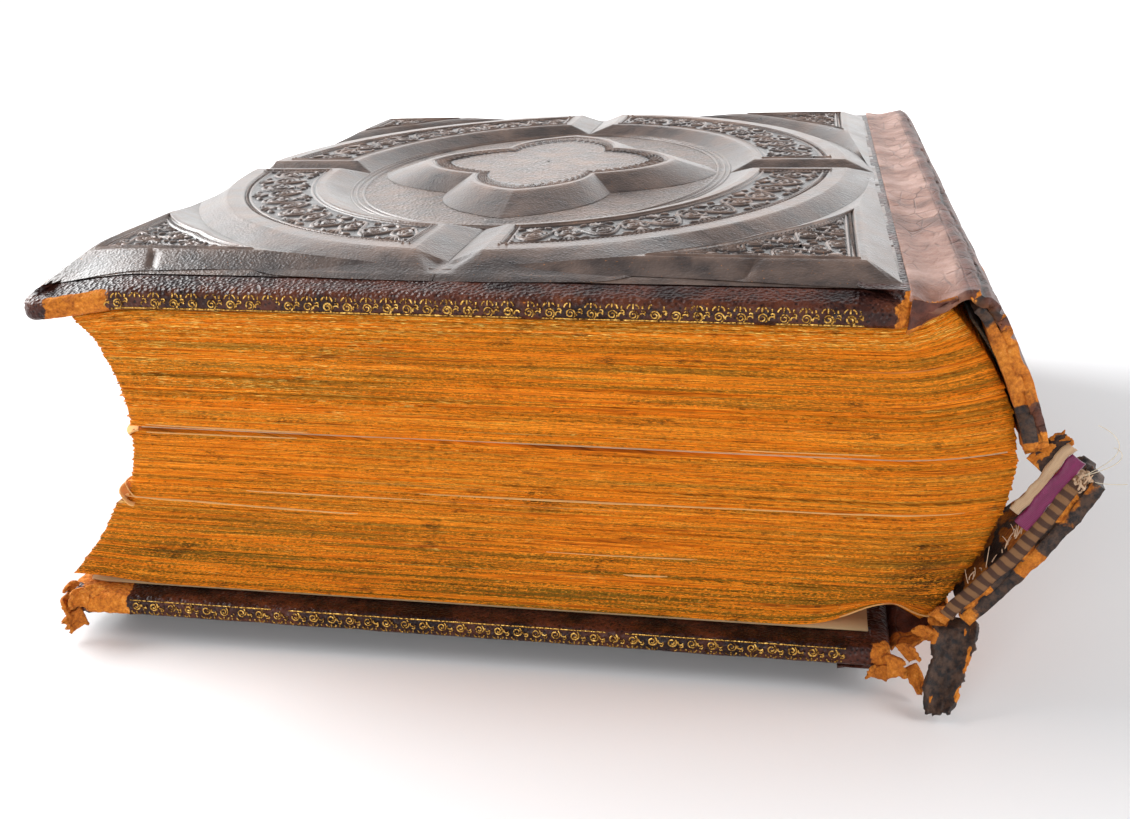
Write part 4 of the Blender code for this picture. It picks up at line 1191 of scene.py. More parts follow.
SHELL_LINE = ((116.6, 106.5), (118.6, 106.3), (121.5, 105.7), (124.8, 106.0), (127.6, 106.9), (130.2, 107.6),
              (133.0, 107.7), (136.3, 105.0), (140.6, 98.6), (145.6, 88.6), (149.3, 78.8), (151.8, 69.6))
JOINT_POINTS = 6                # points of the line that lie over the joint
FLAP_FOOT = (136.5, 20.6)
FLAP_TIP = (165.6, 60.0)
TONGUE_FAR = -151.0
TEAR_FAR = -128.0
STRIP_HEIGHT = 17.0


def curve_through(points, step):
    """A smooth, evenly spaced line through a few points."""
    points = np.asarray(points, float)
    ends = np.concatenate([2 * points[:1] - points[1:2], points, 2 * points[-1:] - points[-2:-1]])
    line = []
    for before, start, end, after in zip(ends, ends[1:], ends[2:], ends[3:]):
        for t in np.linspace(0.0, 1.0, 12, endpoint=False):
            bend = 2 * before - 5 * start + 4 * end - after
            line.append(0.5 * (2 * start + (end - before) * t + bend * t ** 2
                               + (3 * start - before - 3 * end + after) * t ** 3))
    line.append(points[-1])
    line = np.asarray(line)
    length = np.concatenate([[0], np.cumsum(np.linalg.norm(np.diff(line, axis=0), axis=1))])
    places = np.linspace(0.0, length[-1], max(4, int(length[-1] / step)))
    return np.stack([np.interp(places, length, line[:, k]) for k in range(line.shape[1])], 1)


def skin_over(line, near, far, step):
    """A grid of points along a cross-section line (rows) and from near to far (columns)."""
    y = np.linspace(near, far, int((far - near) / step))
    x = np.repeat(line[:, :1], len(y), 1)
    z = np.repeat(line[:, 1:], len(y), 1)
    return np.stack([x, np.repeat(y[None, :], len(line), 0), z], -1)


def upward_normals(surface):
    """Normals of a skin laid from the fore-edge side towards the spine: they point up and out."""
    normal = np.cross(np.gradient(surface, axis=0), np.gradient(surface, axis=1))
    return normal / (np.linalg.norm(normal, axis=-1, keepdims=True) + 1e-9)


def hide(surface, thickness):
    """Leather of a thickness under a skin laid from the fore-edge side towards the spine."""
    points, faces = thick_sheet(surface, -thickness)
    return points, faces[:, ::-1]


def crack(run, y, place, wobble, width, seed, reach):
    """A crack along the spine: 1 in its middle; reach fades it out along the book."""
    middle = place + wobble * (rough_noise(y / 26, 0 * y, seed) - 0.5) * 2
    open_width = width * (0.35 + 1.1 * noise(y / 18, 0 * y, seed + 7)) * reach
    return np.clip(1 - np.abs(run - middle) / (open_width + 1e-3), 0.0, 1.0)


def shell_flesh(run, z):
    """Where the shell's inner side shows orange suede: below its crumpled top, but for a black patch."""
    wander = 3.0 * (rough_noise(run / 4, z / 6, 357) - 0.5)
    beside_patch = np.maximum(smooth(80.0, 83.0, z - wander), smooth(71.5, 68.5, z + wander))
    bare = smooth(101.5, 98.5, z + wander) * beside_patch
    return 0.12 + 0.88 * bare


def make_upper_spine(leather, suede):
    line = curve_through(SHELL_LINE, 0.6)
    joint_end = SHELL_LINE[JOINT_POINTS - 1][0]
    split = int(np.argmax(line[:, 0] > joint_end)) + 1
    for name, part, body, node in (("joint", line[:split], None, "upper_joint_leather"),
                                   ("shell", line[split - 1:], "upper_spine_shell", "upper_spine_leather")):
        surface = skin_over(part, SPINE_NEAR, SPINE_FAR, 0.9)
        rows = np.arange(surface.shape[0])[:, None] * 0.6 + (0.0 if name == "joint" else split * 0.6)
        y = surface[..., 1]
        total = len(line) * 0.6
        run = rows + 0 * y
        folds = 0.55 * (noise((run + y * 0.35) / 5.5, (y - run) / 26, 303) - 0.5)
        folds = folds + 0.5 * (rough_noise(run / 8, y / 16, 305) - 0.5)
        fade = 0.25 + 0.9 * smooth(90.0, -60.0, y)
        gape = np.maximum(crack(run, y + run * 3, 19.0, 3.2, 1.1, 311, fade),
                          crack(run, y + run * 2, 24.5, 3.0, 1.5, 317, fade))
        gape = np.maximum(gape, crack(run, y + run * 4, 30.5, 3.6, 1.3, 331, fade))
        near = y - SPINE_NEAR
        torn = 0.9 * smooth(2.6 + 2.5 * rough_noise(run / 3, 0 * run, 341), 0.8, near)
        torn = torn + 0.8 * smooth(total - 5.0, total - 1.0, run + 3.0 * rough_noise(y / 5, 0 * y, 343))
        torn = torn + 0.9 * (np.abs(gape - 0.25) < 0.16) * (rough_noise(y / 9, run / 4, 347) > 0.45)
        sag = -3.0 * np.exp(-((run - 6.0) / 4.5) ** 2 - (near / 7.0) ** 2)
        end = smooth(9.0, 0.0, near)
        push = folds * (1 + 1.3 * end) - 1.1 * smooth(0.0, 0.7, gape)
        surface = surface + upward_normals(surface) * push[..., None]
        surface[..., 2] += sag
        ragged = 2.2 * (rough_noise(run / 3.2, 0 * run, 351) - 0.45) * end
        surface[..., 1] += ragged
        drop = smooth(total - 5.0, total, run) * 2.0 * (rough_noise(y / 3.5, 0 * y, 353) - 0.4)
        surface[..., 2] += drop
        if name == "joint":
            surface = settle(surface)
        else:
            follow = smooth(30.0, 0.0, run - split * 0.6)[..., None]
            surface = surface * (1 - follow) + settle(surface) * follow
        flesh = shell_flesh(run, surface[..., 2])
        points, faces = hide(surface, 1.5 + 1.1 * smooth(120.0, 40.0, near) * smooth(8.0, 16.0, run))
        values = {"torn": twice(torn * (0.35 + 0.65 * flesh)), "crack": twice(smooth(0.35, 0.75, gape)),
                  "worn": twice(0.14 + 0.50 * smooth(19.0, 9.0, run) - 0.16 * smooth(50.0, 0.0, near)),
                  "inner": inner_side(flesh)}
        piece = mesh_piece(f"upper_spine_{name}_skin", points, faces, leather, body,
                           attributes=values, replaces=[node])
        if name == "joint":
            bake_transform(piece)
    u, v = np.meshgrid(np.linspace(0.0, 1.0, 26), np.linspace(0.0, 1.0, 26), indexing="ij")
    x = 116.8 + 10.6 * u
    top = np.interp(x, line[:, 0], line[:, 1]) - 1.4
    low = 96.0 + 8.0 * u ** 1.4 + 1.2 * (rough_noise(u * 5, 0 * u, 371) - 0.5)
    push = 1.0 * np.sin(u * 6 + v * 2) * v + 1.2 * (rough_noise(u * 4, v * 4, 373) - 0.5)
    y = SPINE_NEAR - 0.2 + 1.6 * v ** 2 - push
    surface = settle(np.stack([x - 0.8 * v, y, top + (low - top) * v], -1))
    points, faces = thick_sheet(surface, 0.9)
    torn = smooth(0.86, 1.0, v + 0.1 * rough_noise(u * 9, 0 * u, 375))
    looks = {"torn": twice(torn), "crack": 0.0, "worn": twice(0.22 - 0.2 * v),
             "inner": inner_side(np.ones_like(u))}
    fold = mesh_piece("joint_end_fold", points, faces, leather, None, attributes=looks)
    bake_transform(fold)
    inner = line[split + 6:]
    direction = np.gradient(inner, axis=0)
    direction /= np.linalg.norm(direction, axis=1, keepdims=True)
    inner = inner + np.stack([direction[:, 1], -direction[:, 0]], 1) * 2.3
    surface = skin_over(inner, SPINE_NEAR + 0.2, SPINE_FAR - 0.6, 1.0)
    y = surface[..., 1]
    run = np.arange(surface.shape[0])[:, None] * 0.6 + 0 * y
    ragged = 2.6 * (rough_noise(run / 2.4, 0 * run, 361) - 0.5) * smooth(8.0, 0.0, y - SPINE_NEAR)
    surface[..., 1] += ragged
    fringe = smooth(run.max() - 5, run.max(), run)
    surface[..., 2] += fringe * 3.5 * (rough_noise(y / 3.5, 0 * y, 363) - 0.5)
    lumps = 0.5 * (rough_noise(run / 4, y / 7, 365) - 0.5)
    surface = surface + upward_normals(surface) * lumps[..., None]
    crumple = 0.9 * (rough_noise(run / 2.2, y / 6, 369) - 0.5)
    crumple = crumple * smooth(16.0, 4.0, run) * smooth(30.0, 0.0, y - SPINE_NEAR)
    surface = surface + upward_normals(surface) * crumple[..., None]
    points, faces = hide(surface, 2.4 + 1.2 * smooth(6.0, 14.0, run) * smooth(60.0, 20.0, y - SPINE_NEAR))
    dark = 0.72 * (1 - shell_flesh(run, surface[..., 2])) + 0.12
    mesh_piece("upper_spine_liner_torn", points, faces, suede, "upper_spine_shell",
               attributes={"dark": twice(dark)}, replaces=["upper_spine_liner"])


def flap_place(run, y, depth):
    """Points of the lower flap: run up from its foot, depth inwards from its outer face."""
    foot, tip = np.array(FLAP_FOOT), np.array(FLAP_TIP)
    length = np.linalg.norm(tip - foot)
    along = (tip - foot) / length
    run, y, depth = np.broadcast_arrays(np.asarray(run, float), y, depth)
    bow = 1.4 * np.sin(np.pi * np.clip(run / length, 0, 1))
    return np.stack([foot[0] + along[0] * run - along[1] * (depth - bow), y,
                     foot[1] + along[1] * run + along[0] * (depth - bow)], -1)


def flap_top(y, seed, reach):
    """How high the torn flap stands at each place along the book."""
    tongue = reach + 2.5 * (rough_noise(y / 4, 0 * y, seed) - 0.5)
    strip = STRIP_HEIGHT + 5.0 * (rough_noise(y / 9, 0 * y, seed + 3) - 0.5)
    share = smooth(TONGUE_FAR, TEAR_FAR, y + 3 * (rough_noise(y / 3, 0 * y, seed + 5) - 0.5))
    return tongue * (1 - share) + strip * share


def flap_layer(name, depth, thickness, foot_run, reach, near, material, node, seed):
    y = np.concatenate([np.linspace(near, TEAR_FAR + 4, 70), np.linspace(TEAR_FAR + 5, SPINE_FAR, 150)])
    share = np.linspace(0.0, 1.0, 60)[:, None]
    top = flap_top(y, seed, reach)[None, :]
    run = foot_run + (top - foot_run) * share
    lumps = 0.9 * (rough_noise(run / 6, y / 8, seed + 11) - 0.5)
    edge = smooth(6.0, 0.0, y - near)
    ragged = 2.4 * (rough_noise(run / 2.6, 0 * run, seed + 13) - 0.45) * edge
    surface = flap_place(run, y + ragged, depth + lumps)
    points, faces = thick_sheet(surface, thickness)
    dark = 0.40 + 0.26 * smooth(0.42, 0.58, rough_noise(run / 8, y / 20, seed + 17))
    mesh_piece(name, points, faces, material, "lower_spine_flap",
               attributes={"dark": np.concatenate([(dark + 0.12).ravel(), dark.ravel()])}, replaces=[node])


def rope(line, radius, sides):
    """A closed round strand along a line of points, with a radius at each point."""
    line = np.asarray(line, float)
    along = np.gradient(line, axis=0)
    along /= np.linalg.norm(along, axis=1, keepdims=True)
    side = np.cross(along, np.array([0.31, 0.92, 0.22]))
    side /= np.linalg.norm(side, axis=1, keepdims=True)
    up = np.cross(along, side)
    turn = np.linspace(0.0, 2 * np.pi, sides, endpoint=False)[None, :, None]
    radius = np.broadcast_to(radius, len(line))[:, None, None]
    ring = line[:, None] + radius * (np.cos(turn) * side[:, None] + np.sin(turn) * up[:, None])
    return ring.reshape(-1, 3), grid_faces(len(line), sides, wrap=True)


def make_lower_flap(suede, stripes, silk, faded_silk, frayed_cord, thread):
    near = SPINE_NEAR
    flap_layer("lower_spine_leather_torn", -0.3, 3.6, 0.0, 49.5, near, suede,
               "lower_spine_leather", 401)
    flap_layer("lower_spine_liner_torn", 3.0, 1.9, 1.0, 47.5, near + 0.4, suede,
               "lower_spine_liner", 421)
    share = np.linspace(0.0, 1.0, 60)
    for name, depth, width, start, end, material, slot, node in (
            ("headband_stripes", 6.3, 4.0, -1.5, 47.5, stripes, "headband", "headband"),
            ("silk_marker", 10.1, 4.4, 29.0, 51.0, silk, "silk", "silk_strip"),
            ("silk_marker_faded", 13.6, 3.0, 31.0, 52.5, faded_silk, "silk", None)):
        run = start + (end - start) * share[:, None]
        across = np.linspace(-0.5, 0.5, 9)[None, :]
        wave = 0.5 * np.sin(share[:, None] * 9 + depth) + 0.3 * np.sin(share[:, None] * 23)
        wave = wave + 0.9 * (rough_noise(share[:, None] * 14, across * 2, int(depth * 10)) - 0.5)
        crown = 0.7 * (1 - (2 * across) ** 2)
        surface = flap_place(run, near - 0.4 - crown - 0.3 * wave, depth + wave * 0.6 + across * width)
        points, faces = thick_sheet(surface, -1.2 if name == "headband_stripes" else -0.3)
        uv = np.stack([run / 50 + 0 * across, across + 0.5 + 0 * run], -1).reshape(-1, 2)
        mesh_piece(name, points, faces[:, ::-1], material, "lower_spine_flap",
                   uv=np.concatenate([uv, uv]), replaces=[node] if node else [])
    u, v = np.meshgrid(np.linspace(0.0, 1.0, 22), np.linspace(0.0, 1.0, 18), indexing="ij")
    run = 42.3 + 11.0 * u + 1.6 * (rough_noise(v * 5, 0 * v, 431) - 0.5) * u
    depth = 15.8 - 1.0 * u + (v - 0.5) * 5.4 * (1 - 0.45 * u) + 1.3 * (rough_noise(u * 5, 0 * u, 433) - 0.5)
    y = near + 1.5 + 3 * v + 0.9 * np.sin(u * 5) + rough_noise(u * 3, v * 3, 435)
    surface = flap_place(run, y, depth)
    points, faces = thick_sheet(surface, 0.6)
    mesh_piece("curled_leather_corner", points, faces, suede, "lower_spine_flap",
               attributes={"dark": twice(0.50 + 0.35 * smooth(0.45, 0.6, rough_noise(u * 4, v * 4, 437)))})
    random = np.random.default_rng(71)
    parts = []
    for _ in range(80):
        turn = random.uniform(0, 2 * np.pi) + np.linspace(0.0, random.uniform(1.6, 3.2), 12)
        axes = random.standard_normal((2, 3))
        axes /= np.linalg.norm(axes, axis=1, keepdims=True)
        radius = random.uniform(0.7, 2.5)
        path = np.array([47.0, near + 1.2, 5.8]) + radius * (
            np.cos(turn)[:, None] * axes[0] + np.sin(turn)[:, None] * axes[1])
        path[:, 0] += np.linspace(0.0, random.uniform(-1.5, 2.0), 12)
        parts.append(rope(flap_place(path[:, 0], path[:, 1], path[:, 2]), np.linspace(0.42, 0.16, 12), 6))
    for _ in range(18):
        steps = np.linspace(0.0, 1.0, 8)
        start = np.array([random.uniform(8.0, 31.0), near + 0.8, random.uniform(8.0, 9.2)])
        reach = np.array([random.uniform(1.0, 3.6), random.uniform(-1.2, 0.6), random.uniform(0.6, 3.0)])
        path = start + steps[:, None] * reach + (steps ** 2)[:, None] * random.uniform(-1.6, 1.6, 3)
        parts.append(rope(flap_place(path[:, 0], path[:, 1], path[:, 2]), 0.16 - 0.08 * steps, 5))
    points, faces = joined(parts)
    mesh_piece("frayed_headband_cord", points, faces, frayed_cord, "lower_spine_flap",
               replaces=["headband_core"])
    parts = []
    for far_run, far_depth, bow in ((58.0, 3.0, 4.0), (53.0, -2.5, -2.0), (60.0, 9.0, 5.0)):
        steps = np.linspace(0.0, 1.0, 30)
        run = 48 + (far_run - 48) * steps + bow * np.sin(np.pi * steps)
        depth = 6.5 + (far_depth - 6.5) * steps - bow * 0.7 * np.sin(np.pi * steps * 1.3)
        parts.append(rope(flap_place(run, near - 0.5 + 1.5 * steps, depth), 0.09, 5))
    points, faces = joined(parts)
    mesh_piece("loose_threads", points, faces, thread, "lower_spine_flap")


# side, body, and the heights between which the lining runs
LININGS = (("lower", "lower_book", 18.0, 63.4), ("upper", "upper_leaves", 67.9, 95.6))


def make_linings(cloth, linen):
    """The linings and tapes on the leaves' spine edge."""
    for side, body, low, high in LININGS:
        heights = np.linspace(low, high, 40)
        line = np.stack([spine_edge(heights) + 1.7, heights], 1)
        surface = skin_over(line, -147.0, 152.0, 1.5)
        surface[..., 0] += 0.6 * (rough_noise(surface[..., 1] / 12, surface[..., 2] / 9, 501) - 0.5)
        for number in (1, 2, 3):
            tape_low, tape_high = span(f"{side}_sewing_tape_{number}", 1)
            y = surface[..., 1]
            over_tape = smooth(tape_low - 1.0, tape_low, y) * smooth(tape_high + 1.0, tape_high, y)
            surface[..., 0] += 0.5 * over_tape
        if side == "upper":
            surface = settle(surface)
        points, faces = thick_sheet(surface, 0.6)
        mesh_piece(side + "_lining_cloth", points, faces, cloth, body,
                   replaces=[side + "_spine_lining"])
        for number in (1, 2, 3):
            tape_low, tape_high = span(f"{side}_sewing_tape_{number}", 1)
            surface = skin_over(line - (1.0, 0.0), tape_low, tape_high, 1.0)
            if side == "upper":
                surface = settle(surface)
            points, faces = thick_sheet(surface, 0.5)
            mesh_piece(f"{side}_tape_woven_{number}", points, faces, linen, body,
                       replaces=[f"{side}_sewing_tape_{number}"])


LOWER_JOINT_LINE = ((117.6, 7.5), (119.5, 9.5), (123.0, 9.9), (128.0, 12.0), (133.0, 16.6))
SCRAP_LINE = ((-160.0, 19.5), (-165.0, 17.6), (-169.5, 12.0), (-174.0, 6.0), (-179.0, 1.6))

# curls of torn leather: place x, y, z, length, width, roll and heading in radians, share of black skin
TUFTS = ((116.5, -166.6, 7.5, 6.5, 7.0, 1.3, 0.2, 0.25), (120.5, -165.0, 10.5, 7.0, 6.0, 1.7, 0.7, 0.42),
         (117.5, -166.0, 4.5, 6.0, 4.5, -0.9, -0.3, 0.2), (125.0, -164.0, 15.5, 7.0, 6.0, 1.5, 1.1, 0.35),
         (128.5, -163.5, 20.5, 7.0, 5.0, 1.2, 1.0, 0.5), (122.5, -165.0, 7.0, 8.0, 4.5, 1.3, -1.0, 0.3),
         (-108.0, -166.6, 11.5, 8.0, 7.0, 2.1, 2.9, 0.42), (-105.0, -166.4, 13.0, 6.0, 5.0, 1.6, 2.2, 0.52),
         (-112.0, -165.6, 9.0, 7.0, 8.5, 2.4, 3.3, 0.30), (-114.5, -162.6, 8.5, 6.0, 7.5, 2.5, 2.7, 0.48),
         (-110.0, -166.8, 6.0, 7.5, 6.0, 1.8, 3.5, 0.25), (-113.5, -164.0, 13.0, 5.5, 5.0, 2.3, 2.4, 0.58))


def make_tatters(leather, suede):
    """The lower joint's torn leather, the scrap that hangs from it, and curled leather at the corners."""
    line = curve_through(LOWER_JOINT_LINE, 0.6)
    surface = skin_over(line, -158.0, SPINE_FAR, 1.0)
    y = surface[..., 1]
    run = np.arange(surface.shape[0])[:, None] * 0.6 + 0 * y
    surface[..., 1] += 4 * (rough_noise(run / 3, 0 * run, 511) - 0.5) * smooth(12.0, 0.0, y - y.min())
    lumps = 0.9 * (rough_noise(run / 5, y / 10, 513) - 0.5)
    surface = surface + upward_normals(surface) * lumps[..., None]
    points, faces = hide(surface, 1.0)
    torn = smooth(14.0, 2.0, y - y.min()) + 0.6 * smooth(run.max() - 5, run.max(), run)
    mesh_piece("lower_joint_torn", points, faces, leather, "lower_book",
               attributes={"torn": twice(torn), "crack": 0.0, "worn": 0.2,
                           "inner": inner_side(np.ones_like(run))},
               replaces=["lower_joint_leather"])
    u, v = np.meshgrid(np.linspace(0.0, 1.0, 46), np.linspace(-0.5, 0.5, 26), indexing="ij")
    line = curve_through(SCRAP_LINE, 0.3)
    middle = np.stack([np.interp(u, np.linspace(0, 1, len(line)), line[:, k]) for k in (0, 1)], -1)
    width = 11.5 * (1 - 0.40 * u) + 2.6 * (rough_noise(u * 6, 0 * u, 521) - 0.5)
    x = 132.6 - 2.6 * u + 1.2 * np.sin(u * 5) + v * width
    curl = 1.8 * np.abs(2 * v) ** 2 * (1 - 0.4 * u) + 2.6 * (rough_noise(u * 7, v * 5, 523) - 0.5)
    ragged = 2.6 * (rough_noise(v * 7, 0 * v, 525) - 0.5) * smooth(0.7, 1.0, u)
    z = np.maximum(middle[..., 1] + curl * 0.4 - ragged, 1.0)
    surface = np.stack([x, middle[..., 0] - curl, z], -1)
    points, faces = thick_sheet(surface, -1.1)
    patches = smooth(0.62, 0.72, rough_noise(u * 4, v * 4, 527))
    orange = np.maximum(smooth(0.22, 0.05, u) * smooth(0.0, -0.2, v), patches)
    mesh_piece("hanging_scrap", points, faces[:, ::-1], suede, "lower_book",
               attributes={"dark": twice(0.88 - 0.62 * orange)}, replaces=["joint_scrap"])
    parts, shades = [], []
    for x, y, z, length, width, roll, heading, dark in TUFTS:
        u, v = np.meshgrid(np.linspace(0.0, 1.0, 16), np.linspace(-0.5, 0.5, 14), indexing="ij")
        seed = int(abs(x) * 7 + z * 3)
        reach = length * u * (0.8 + 0.4 * rough_noise(v * 5, 0 * v, seed))
        turn = roll * u
        forward = reach * np.sin(turn) / np.maximum(np.abs(turn), 1e-6)
        forward = np.where(np.abs(turn) < 1e-6, reach, forward)
        outward = reach * (1 - np.cos(turn)) / np.maximum(np.abs(turn), 1e-6)
        aside = v * width * (1 - 0.3 * u) + 0.8 * (rough_noise(u * 4, v * 3, seed + 1) - 0.5)
        lump = 1.1 * (rough_noise(u * 4, v * 4, seed + 2) - 0.5)
        place_x = x + forward * math.cos(heading) - aside * math.sin(heading)
        place_z = z + forward * math.sin(heading) + aside * math.cos(heading)
        surface = np.stack([place_x, y - outward - lump, np.maximum(place_z, 0.5)], -1)
        part = thick_sheet(surface, 0.9)
        parts.append(part)
        shades.append(np.full(len(part[0]), dark))
    points, faces = joined(parts)
    mesh_piece("torn_leather_tufts", points, faces, suede, "lower_book",
               attributes={"dark": np.concatenate(shades)})


# more materials

def spine_leather_material():
    """Sun-faded matt leather, wrinkled, with black cracks and red-rotted edges."""
    made = Shader("spine_leather", specular_ior_level=0.3)
    where = made.place()
    patches = made.noise(where, 60.0, 4.0, 0.6)
    base = made.ramp(patches, [(0.36, (0.13, 0.052, 0.034)), (0.5, (0.27, 0.135, 0.098)),
                               (0.66, (0.42, 0.255, 0.205))])
    dark = made.ramp(made.noise(where, 150.0, 4.0, 0.7),
                     [(0.35, (0.035, 0.012, 0.010)), (0.62, (0.14, 0.045, 0.028))])
    faded = made.sums("ADD", made.attribute("worn"), made.sums("MULTIPLY", patches, 0.3))
    faded = made.step(faded, 0.42, 0.66)
    base = made.mix(faded, dark, base)
    base = made.mix(made.attribute("crack"), base, (0.012, 0.008, 0.008))
    torn = made.torn(where, 300.0, 0.98, 1.10)
    torn = made.sums("MAXIMUM", torn, made.attribute("inner"))
    colour = made.mix(torn, base, suede_colour(made, where))
    wrinkle = made.noise(made.place("Object", (420.0, 160.0, 420.0), (0.0, 0.0, 0.5)), 1.0, 5.0, 0.65, 0.6)
    furrow = made.place("Object", (210.0, 80.0, 210.0), (0.0, 0.0, 0.5))
    furrow = made.step(made.cells(furrow, 1.0, "DISTANCE_TO_EDGE"), 0.0, 0.07)
    furrow = made.sums("MAXIMUM", furrow, made.step(made.noise(where, 45.0, 2.0), 0.42, 0.55))
    colour = made.mix(furrow, made.mix(0.4, colour, (0.03, 0.012, 0.009)), colour)
    normal = made.bump(made.sums("ADD", wrinkle, made.sums("MULTIPLY", furrow, 0.5)), 0.0010, 0.7)
    normal = made.bump(made.cells(where, 1300.0), 0.0001, 0.5, normal)
    return made.done(colour, made.mix(torn, 0.5, 0.95), normal)


def suede_material():
    """Torn leather seen from its flesh side, with patches of its black outer skin."""
    made = Shader("torn_suede", specular_ior_level=0.3)
    where = made.place()
    patches = made.sums("MULTIPLY", made.noise(where, 180.0, 4.0, 0.6), 0.6)
    skin = made.step(made.sums("ADD", made.attribute("dark"), patches), 0.86, 0.94)
    flesh = suede_colour(made, where)
    scuffs = made.step(made.noise(where, 500.0, 4.0, 0.7), 0.35, 0.65)
    black = made.mix(scuffs, BLACK_LEATHER, (0.085, 0.045, 0.028))
    normal = made.bump(made.noise(where, 700.0, 5.0, 0.75), 0.0006, 0.9)
    normal = made.bump(made.noise(where, 2400.0, 3.0, 0.7), 0.0002, 0.6, normal)
    return made.done(made.mix(skin, flesh, black), made.mix(skin, 0.95, 0.5), normal)


def cloth_material(name, dark, light, thread):
    """Plain-woven cloth; thread is its thread spacing in metres."""
    made = Shader(name, sheen_weight=0.25, sheen_roughness=0.5)
    turn = 2 * math.pi / thread / 20
    where = made.place()
    warp = made.bands(where, turn, "Y", 0.6)
    weft = made.bands(where, turn, "Z", 0.6)
    weave = made.sums("MULTIPLY", warp, weft)
    soil = made.step(made.noise(where, 90.0, 5.0, 0.7), 0.38, 0.62)
    colour = made.mix(made.sums("MULTIPLY", made.sums("ADD", weave, soil), 0.5), dark, light)
    return made.done(colour, 0.95, made.bump(weave, thread / 3, 0.8))


def stripe_material():
    """A headband of brown and tan silk wound in bars."""
    made = Shader("headband_stripes")
    bars = made.bands(made.place("UV", (1.0, 0.15, 1.0)), 5.2, "X", 1.4)
    threads = made.noise(made.place("UV", (700.0, 6.0, 1.0)), 1.0, 2.0)
    colour = made.mix(made.step(bars, 0.30, 0.70), (0.070, 0.024, 0.010), (0.27, 0.125, 0.045))
    colour = made.mix(made.sums("MULTIPLY", threads, 0.35), colour, (0.05, 0.025, 0.012))
    return made.done(colour, 0.75, made.bump(made.sums("ADD", threads, bars), 0.0004, 0.8))


def silk_material(name, dark, light):
    """Ribbed silk ribbon."""
    made = Shader(name, sheen_weight=0.4, sheen_roughness=0.3)
    ribs = made.bands(made.place("UV"), 40.0, "X")
    colour = made.mix(made.noise(made.place("UV", (9.0, 3.0, 1.0)), 1.0, 3.0), dark, light)
    return made.done(colour, 0.42, made.bump(ribs, 0.0001, 0.6))


# camera, lights and floor

CAMERA_PLACE = (0.0903, -0.4983, 0.1884)      # metres
CAMERA_YAW = math.radians(-10.0)
CAMERA_PITCH = math.radians(18.65)
CAMERA_ROLL = math.radians(-0.84)
CAMERA_LENS = 44.06


def make_camera():
    """The camera, beyond the tail edge and a little above the book, near its spine end."""
    forward = Vector((math.sin(CAMERA_YAW) * math.cos(CAMERA_PITCH),
                      math.cos(CAMERA_YAW) * math.cos(CAMERA_PITCH), -math.sin(CAMERA_PITCH)))
    right = Vector((math.cos(CAMERA_YAW), -math.sin(CAMERA_YAW), 0.0))
    up = right.cross(forward)
    tipped_right = right * math.cos(CAMERA_ROLL) + up * math.sin(CAMERA_ROLL)
    tipped_up = -right * math.sin(CAMERA_ROLL) + up * math.cos(CAMERA_ROLL)
    data = bpy.data.cameras.new("camera")
    data.lens = CAMERA_LENS
    data.sensor_width = 36.0
    data.clip_start = 0.01
    data.clip_end = 400.0
    camera = bpy.data.objects.new("camera", data)
    bpy.context.scene.collection.objects.link(camera)
    turn = Matrix((tipped_right, tipped_up, -forward)).transposed()
    camera.matrix_world = Matrix.Translation(CAMERA_PLACE) @ turn.to_4x4()
    bpy.context.scene.camera = camera


def area_light(name, place, target, size, power):
    data = bpy.data.lights.new(name, "AREA")
    data.shape = "RECTANGLE"
    data.size, data.size_y = size
    data.energy = power
    light = bpy.data.objects.new(name, data)
    light.location = place
    light.rotation_euler = (Vector(target) - Vector(place)).to_track_quat("-Z", "Y").to_euler()
    bpy.context.scene.collection.objects.link(light)


# the studio, in metres
WALL_RADIUS = 12.0
WALL_HEIGHT = 4.5
FLOOR_REACH = 14.0
FLOOR_LEVEL = -0.0004


def stage_object(name, points, faces, shader):
    """A part of the studio, given in metres."""
    mesh = bpy.data.meshes.new(name)
    mesh.from_pydata(points.tolist(), [], faces.tolist())
    mesh.materials.append(shader.material)
    stage = bpy.data.objects.new(name, mesh)
    bpy.context.scene.collection.objects.link(stage)
    return stage


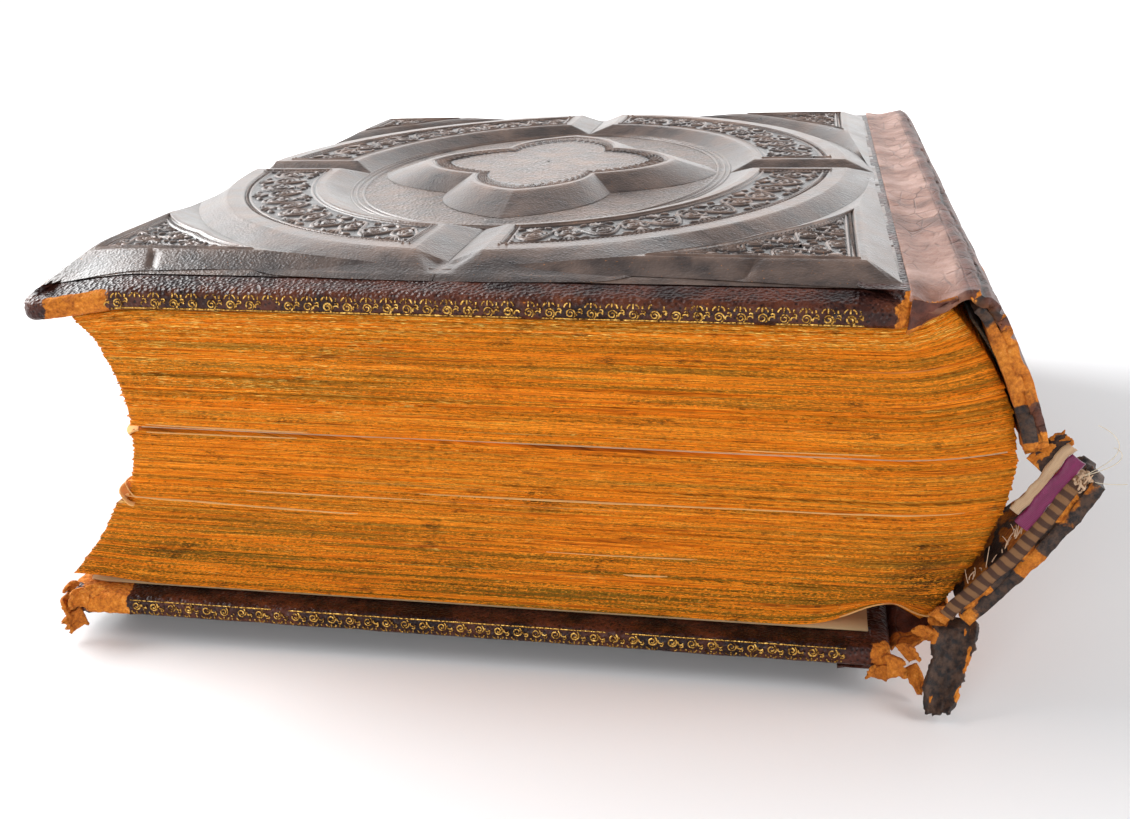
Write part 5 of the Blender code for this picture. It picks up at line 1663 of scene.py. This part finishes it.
def make_stage():
    """A plain pale floor inside a round white wall, and soft lights behind, to both sides and in front."""
    world = bpy.data.worlds.new("studio")
    world.use_nodes = True
    world.node_tree.nodes["Background"].inputs["Color"].default_value = (0.95, 0.97, 1.0, 1.0)
    world.node_tree.nodes["Background"].inputs["Strength"].default_value = 0.30
    bpy.context.scene.world = world
    corners = np.array([(-1, -1, 0), (1, -1, 0), (1, 1, 0), (-1, 1, 0)]) * FLOOR_REACH
    floor = stage_object("floor", corners, np.array([(0, 1, 2, 3)]),
                         Shader("floor_white", base_color=(0.84, 0.84, 0.85, 1.0), roughness=0.9))
    floor.location.z = FLOOR_LEVEL
    turn = np.linspace(0.0, 2 * np.pi, 64, endpoint=False)
    circle = np.stack([WALL_RADIUS * np.cos(turn), WALL_RADIUS * np.sin(turn), 0 * turn], -1)
    points = np.concatenate([circle, circle + (0.0, 0.0, WALL_HEIGHT)])
    wall_object = stage_object("wall", points, grid_faces(2, len(turn), wrap=True),
                               Shader("wall_white", base_color=(0.0, 0.0, 0.0, 1.0),
                                      emission_color=(1.0, 1.0, 1.0, 1.0), emission_strength=1.05))
    area_light("backdrop", (0.0, 7.0, 2.0), (0.0, 0.0, 2.0), (24.0, 4.0), 400)
    area_light("window", (-1.5, 0.5, 1.0), (0.0, 0.0, 0.05), (1.5, 1.2), 60)
    area_light("fill", (-0.3, -1.9, 0.7), (0.0, -0.1, 0.05), (1.0, 0.6), 11)
    area_light("side", (2.0, -0.2, 1.1), (0.0, 0.0, 0.05), (1.4, 1.2), 31)
    area_light("far_floor", (0.0, 1.6, 2.0), (0.0, 4.5, 0.0), (7.0, 1.5), 230)
    bpy.context.scene.view_settings.view_transform = "Standard"


make_camera()
make_stage()

board_leather = board_leather_material()
border_leather = border_leather_material()
gold = gold_material()
make_board("upper", board_leather, border_leather, gold)
make_board("lower", board_leather, border_leather, gold)

millboard = millboard_material()
endpaper = paper_material("endpaper", (0.36, 0.22, 0.10), (0.58, 0.40, 0.22))
page = paper_material("page_edges", (0.60, 0.27, 0.07), (0.85, 0.52, 0.20), 90.0)
suede = suede_material()
spine_leather = spine_leather_material()
cloth = cloth_material("lining_cloth", (0.10, 0.055, 0.028), (0.34, 0.23, 0.13), 0.0009)
linen = cloth_material("linen_tape", (0.42, 0.33, 0.20), (0.72, 0.62, 0.45), 0.0005)

make_leaves(gilt_leaves_material(), page, paper_material("page", (0.56, 0.42, 0.26), (0.80, 0.68, 0.48)))
make_inner_boards(millboard, endpaper)
make_linings(cloth, linen)
make_upper_spine(spine_leather, suede)
magenta_silk = silk_material("silk_magenta", (0.08, 0.002, 0.030), (0.22, 0.007, 0.085))
faded_silk = silk_material("silk_faded", (0.30, 0.16, 0.08), (0.55, 0.38, 0.22))
frayed_cord = paper_material("frayed_cord", (0.34, 0.20, 0.11), (0.66, 0.47, 0.32), 500.0)
thread = paper_material("thread", (0.55, 0.45, 0.32), (0.75, 0.66, 0.5), 400.0)
make_lower_flap(suede, stripe_material(), magenta_silk, faded_silk, frayed_cord, thread)
make_tatters(spine_leather, suede)
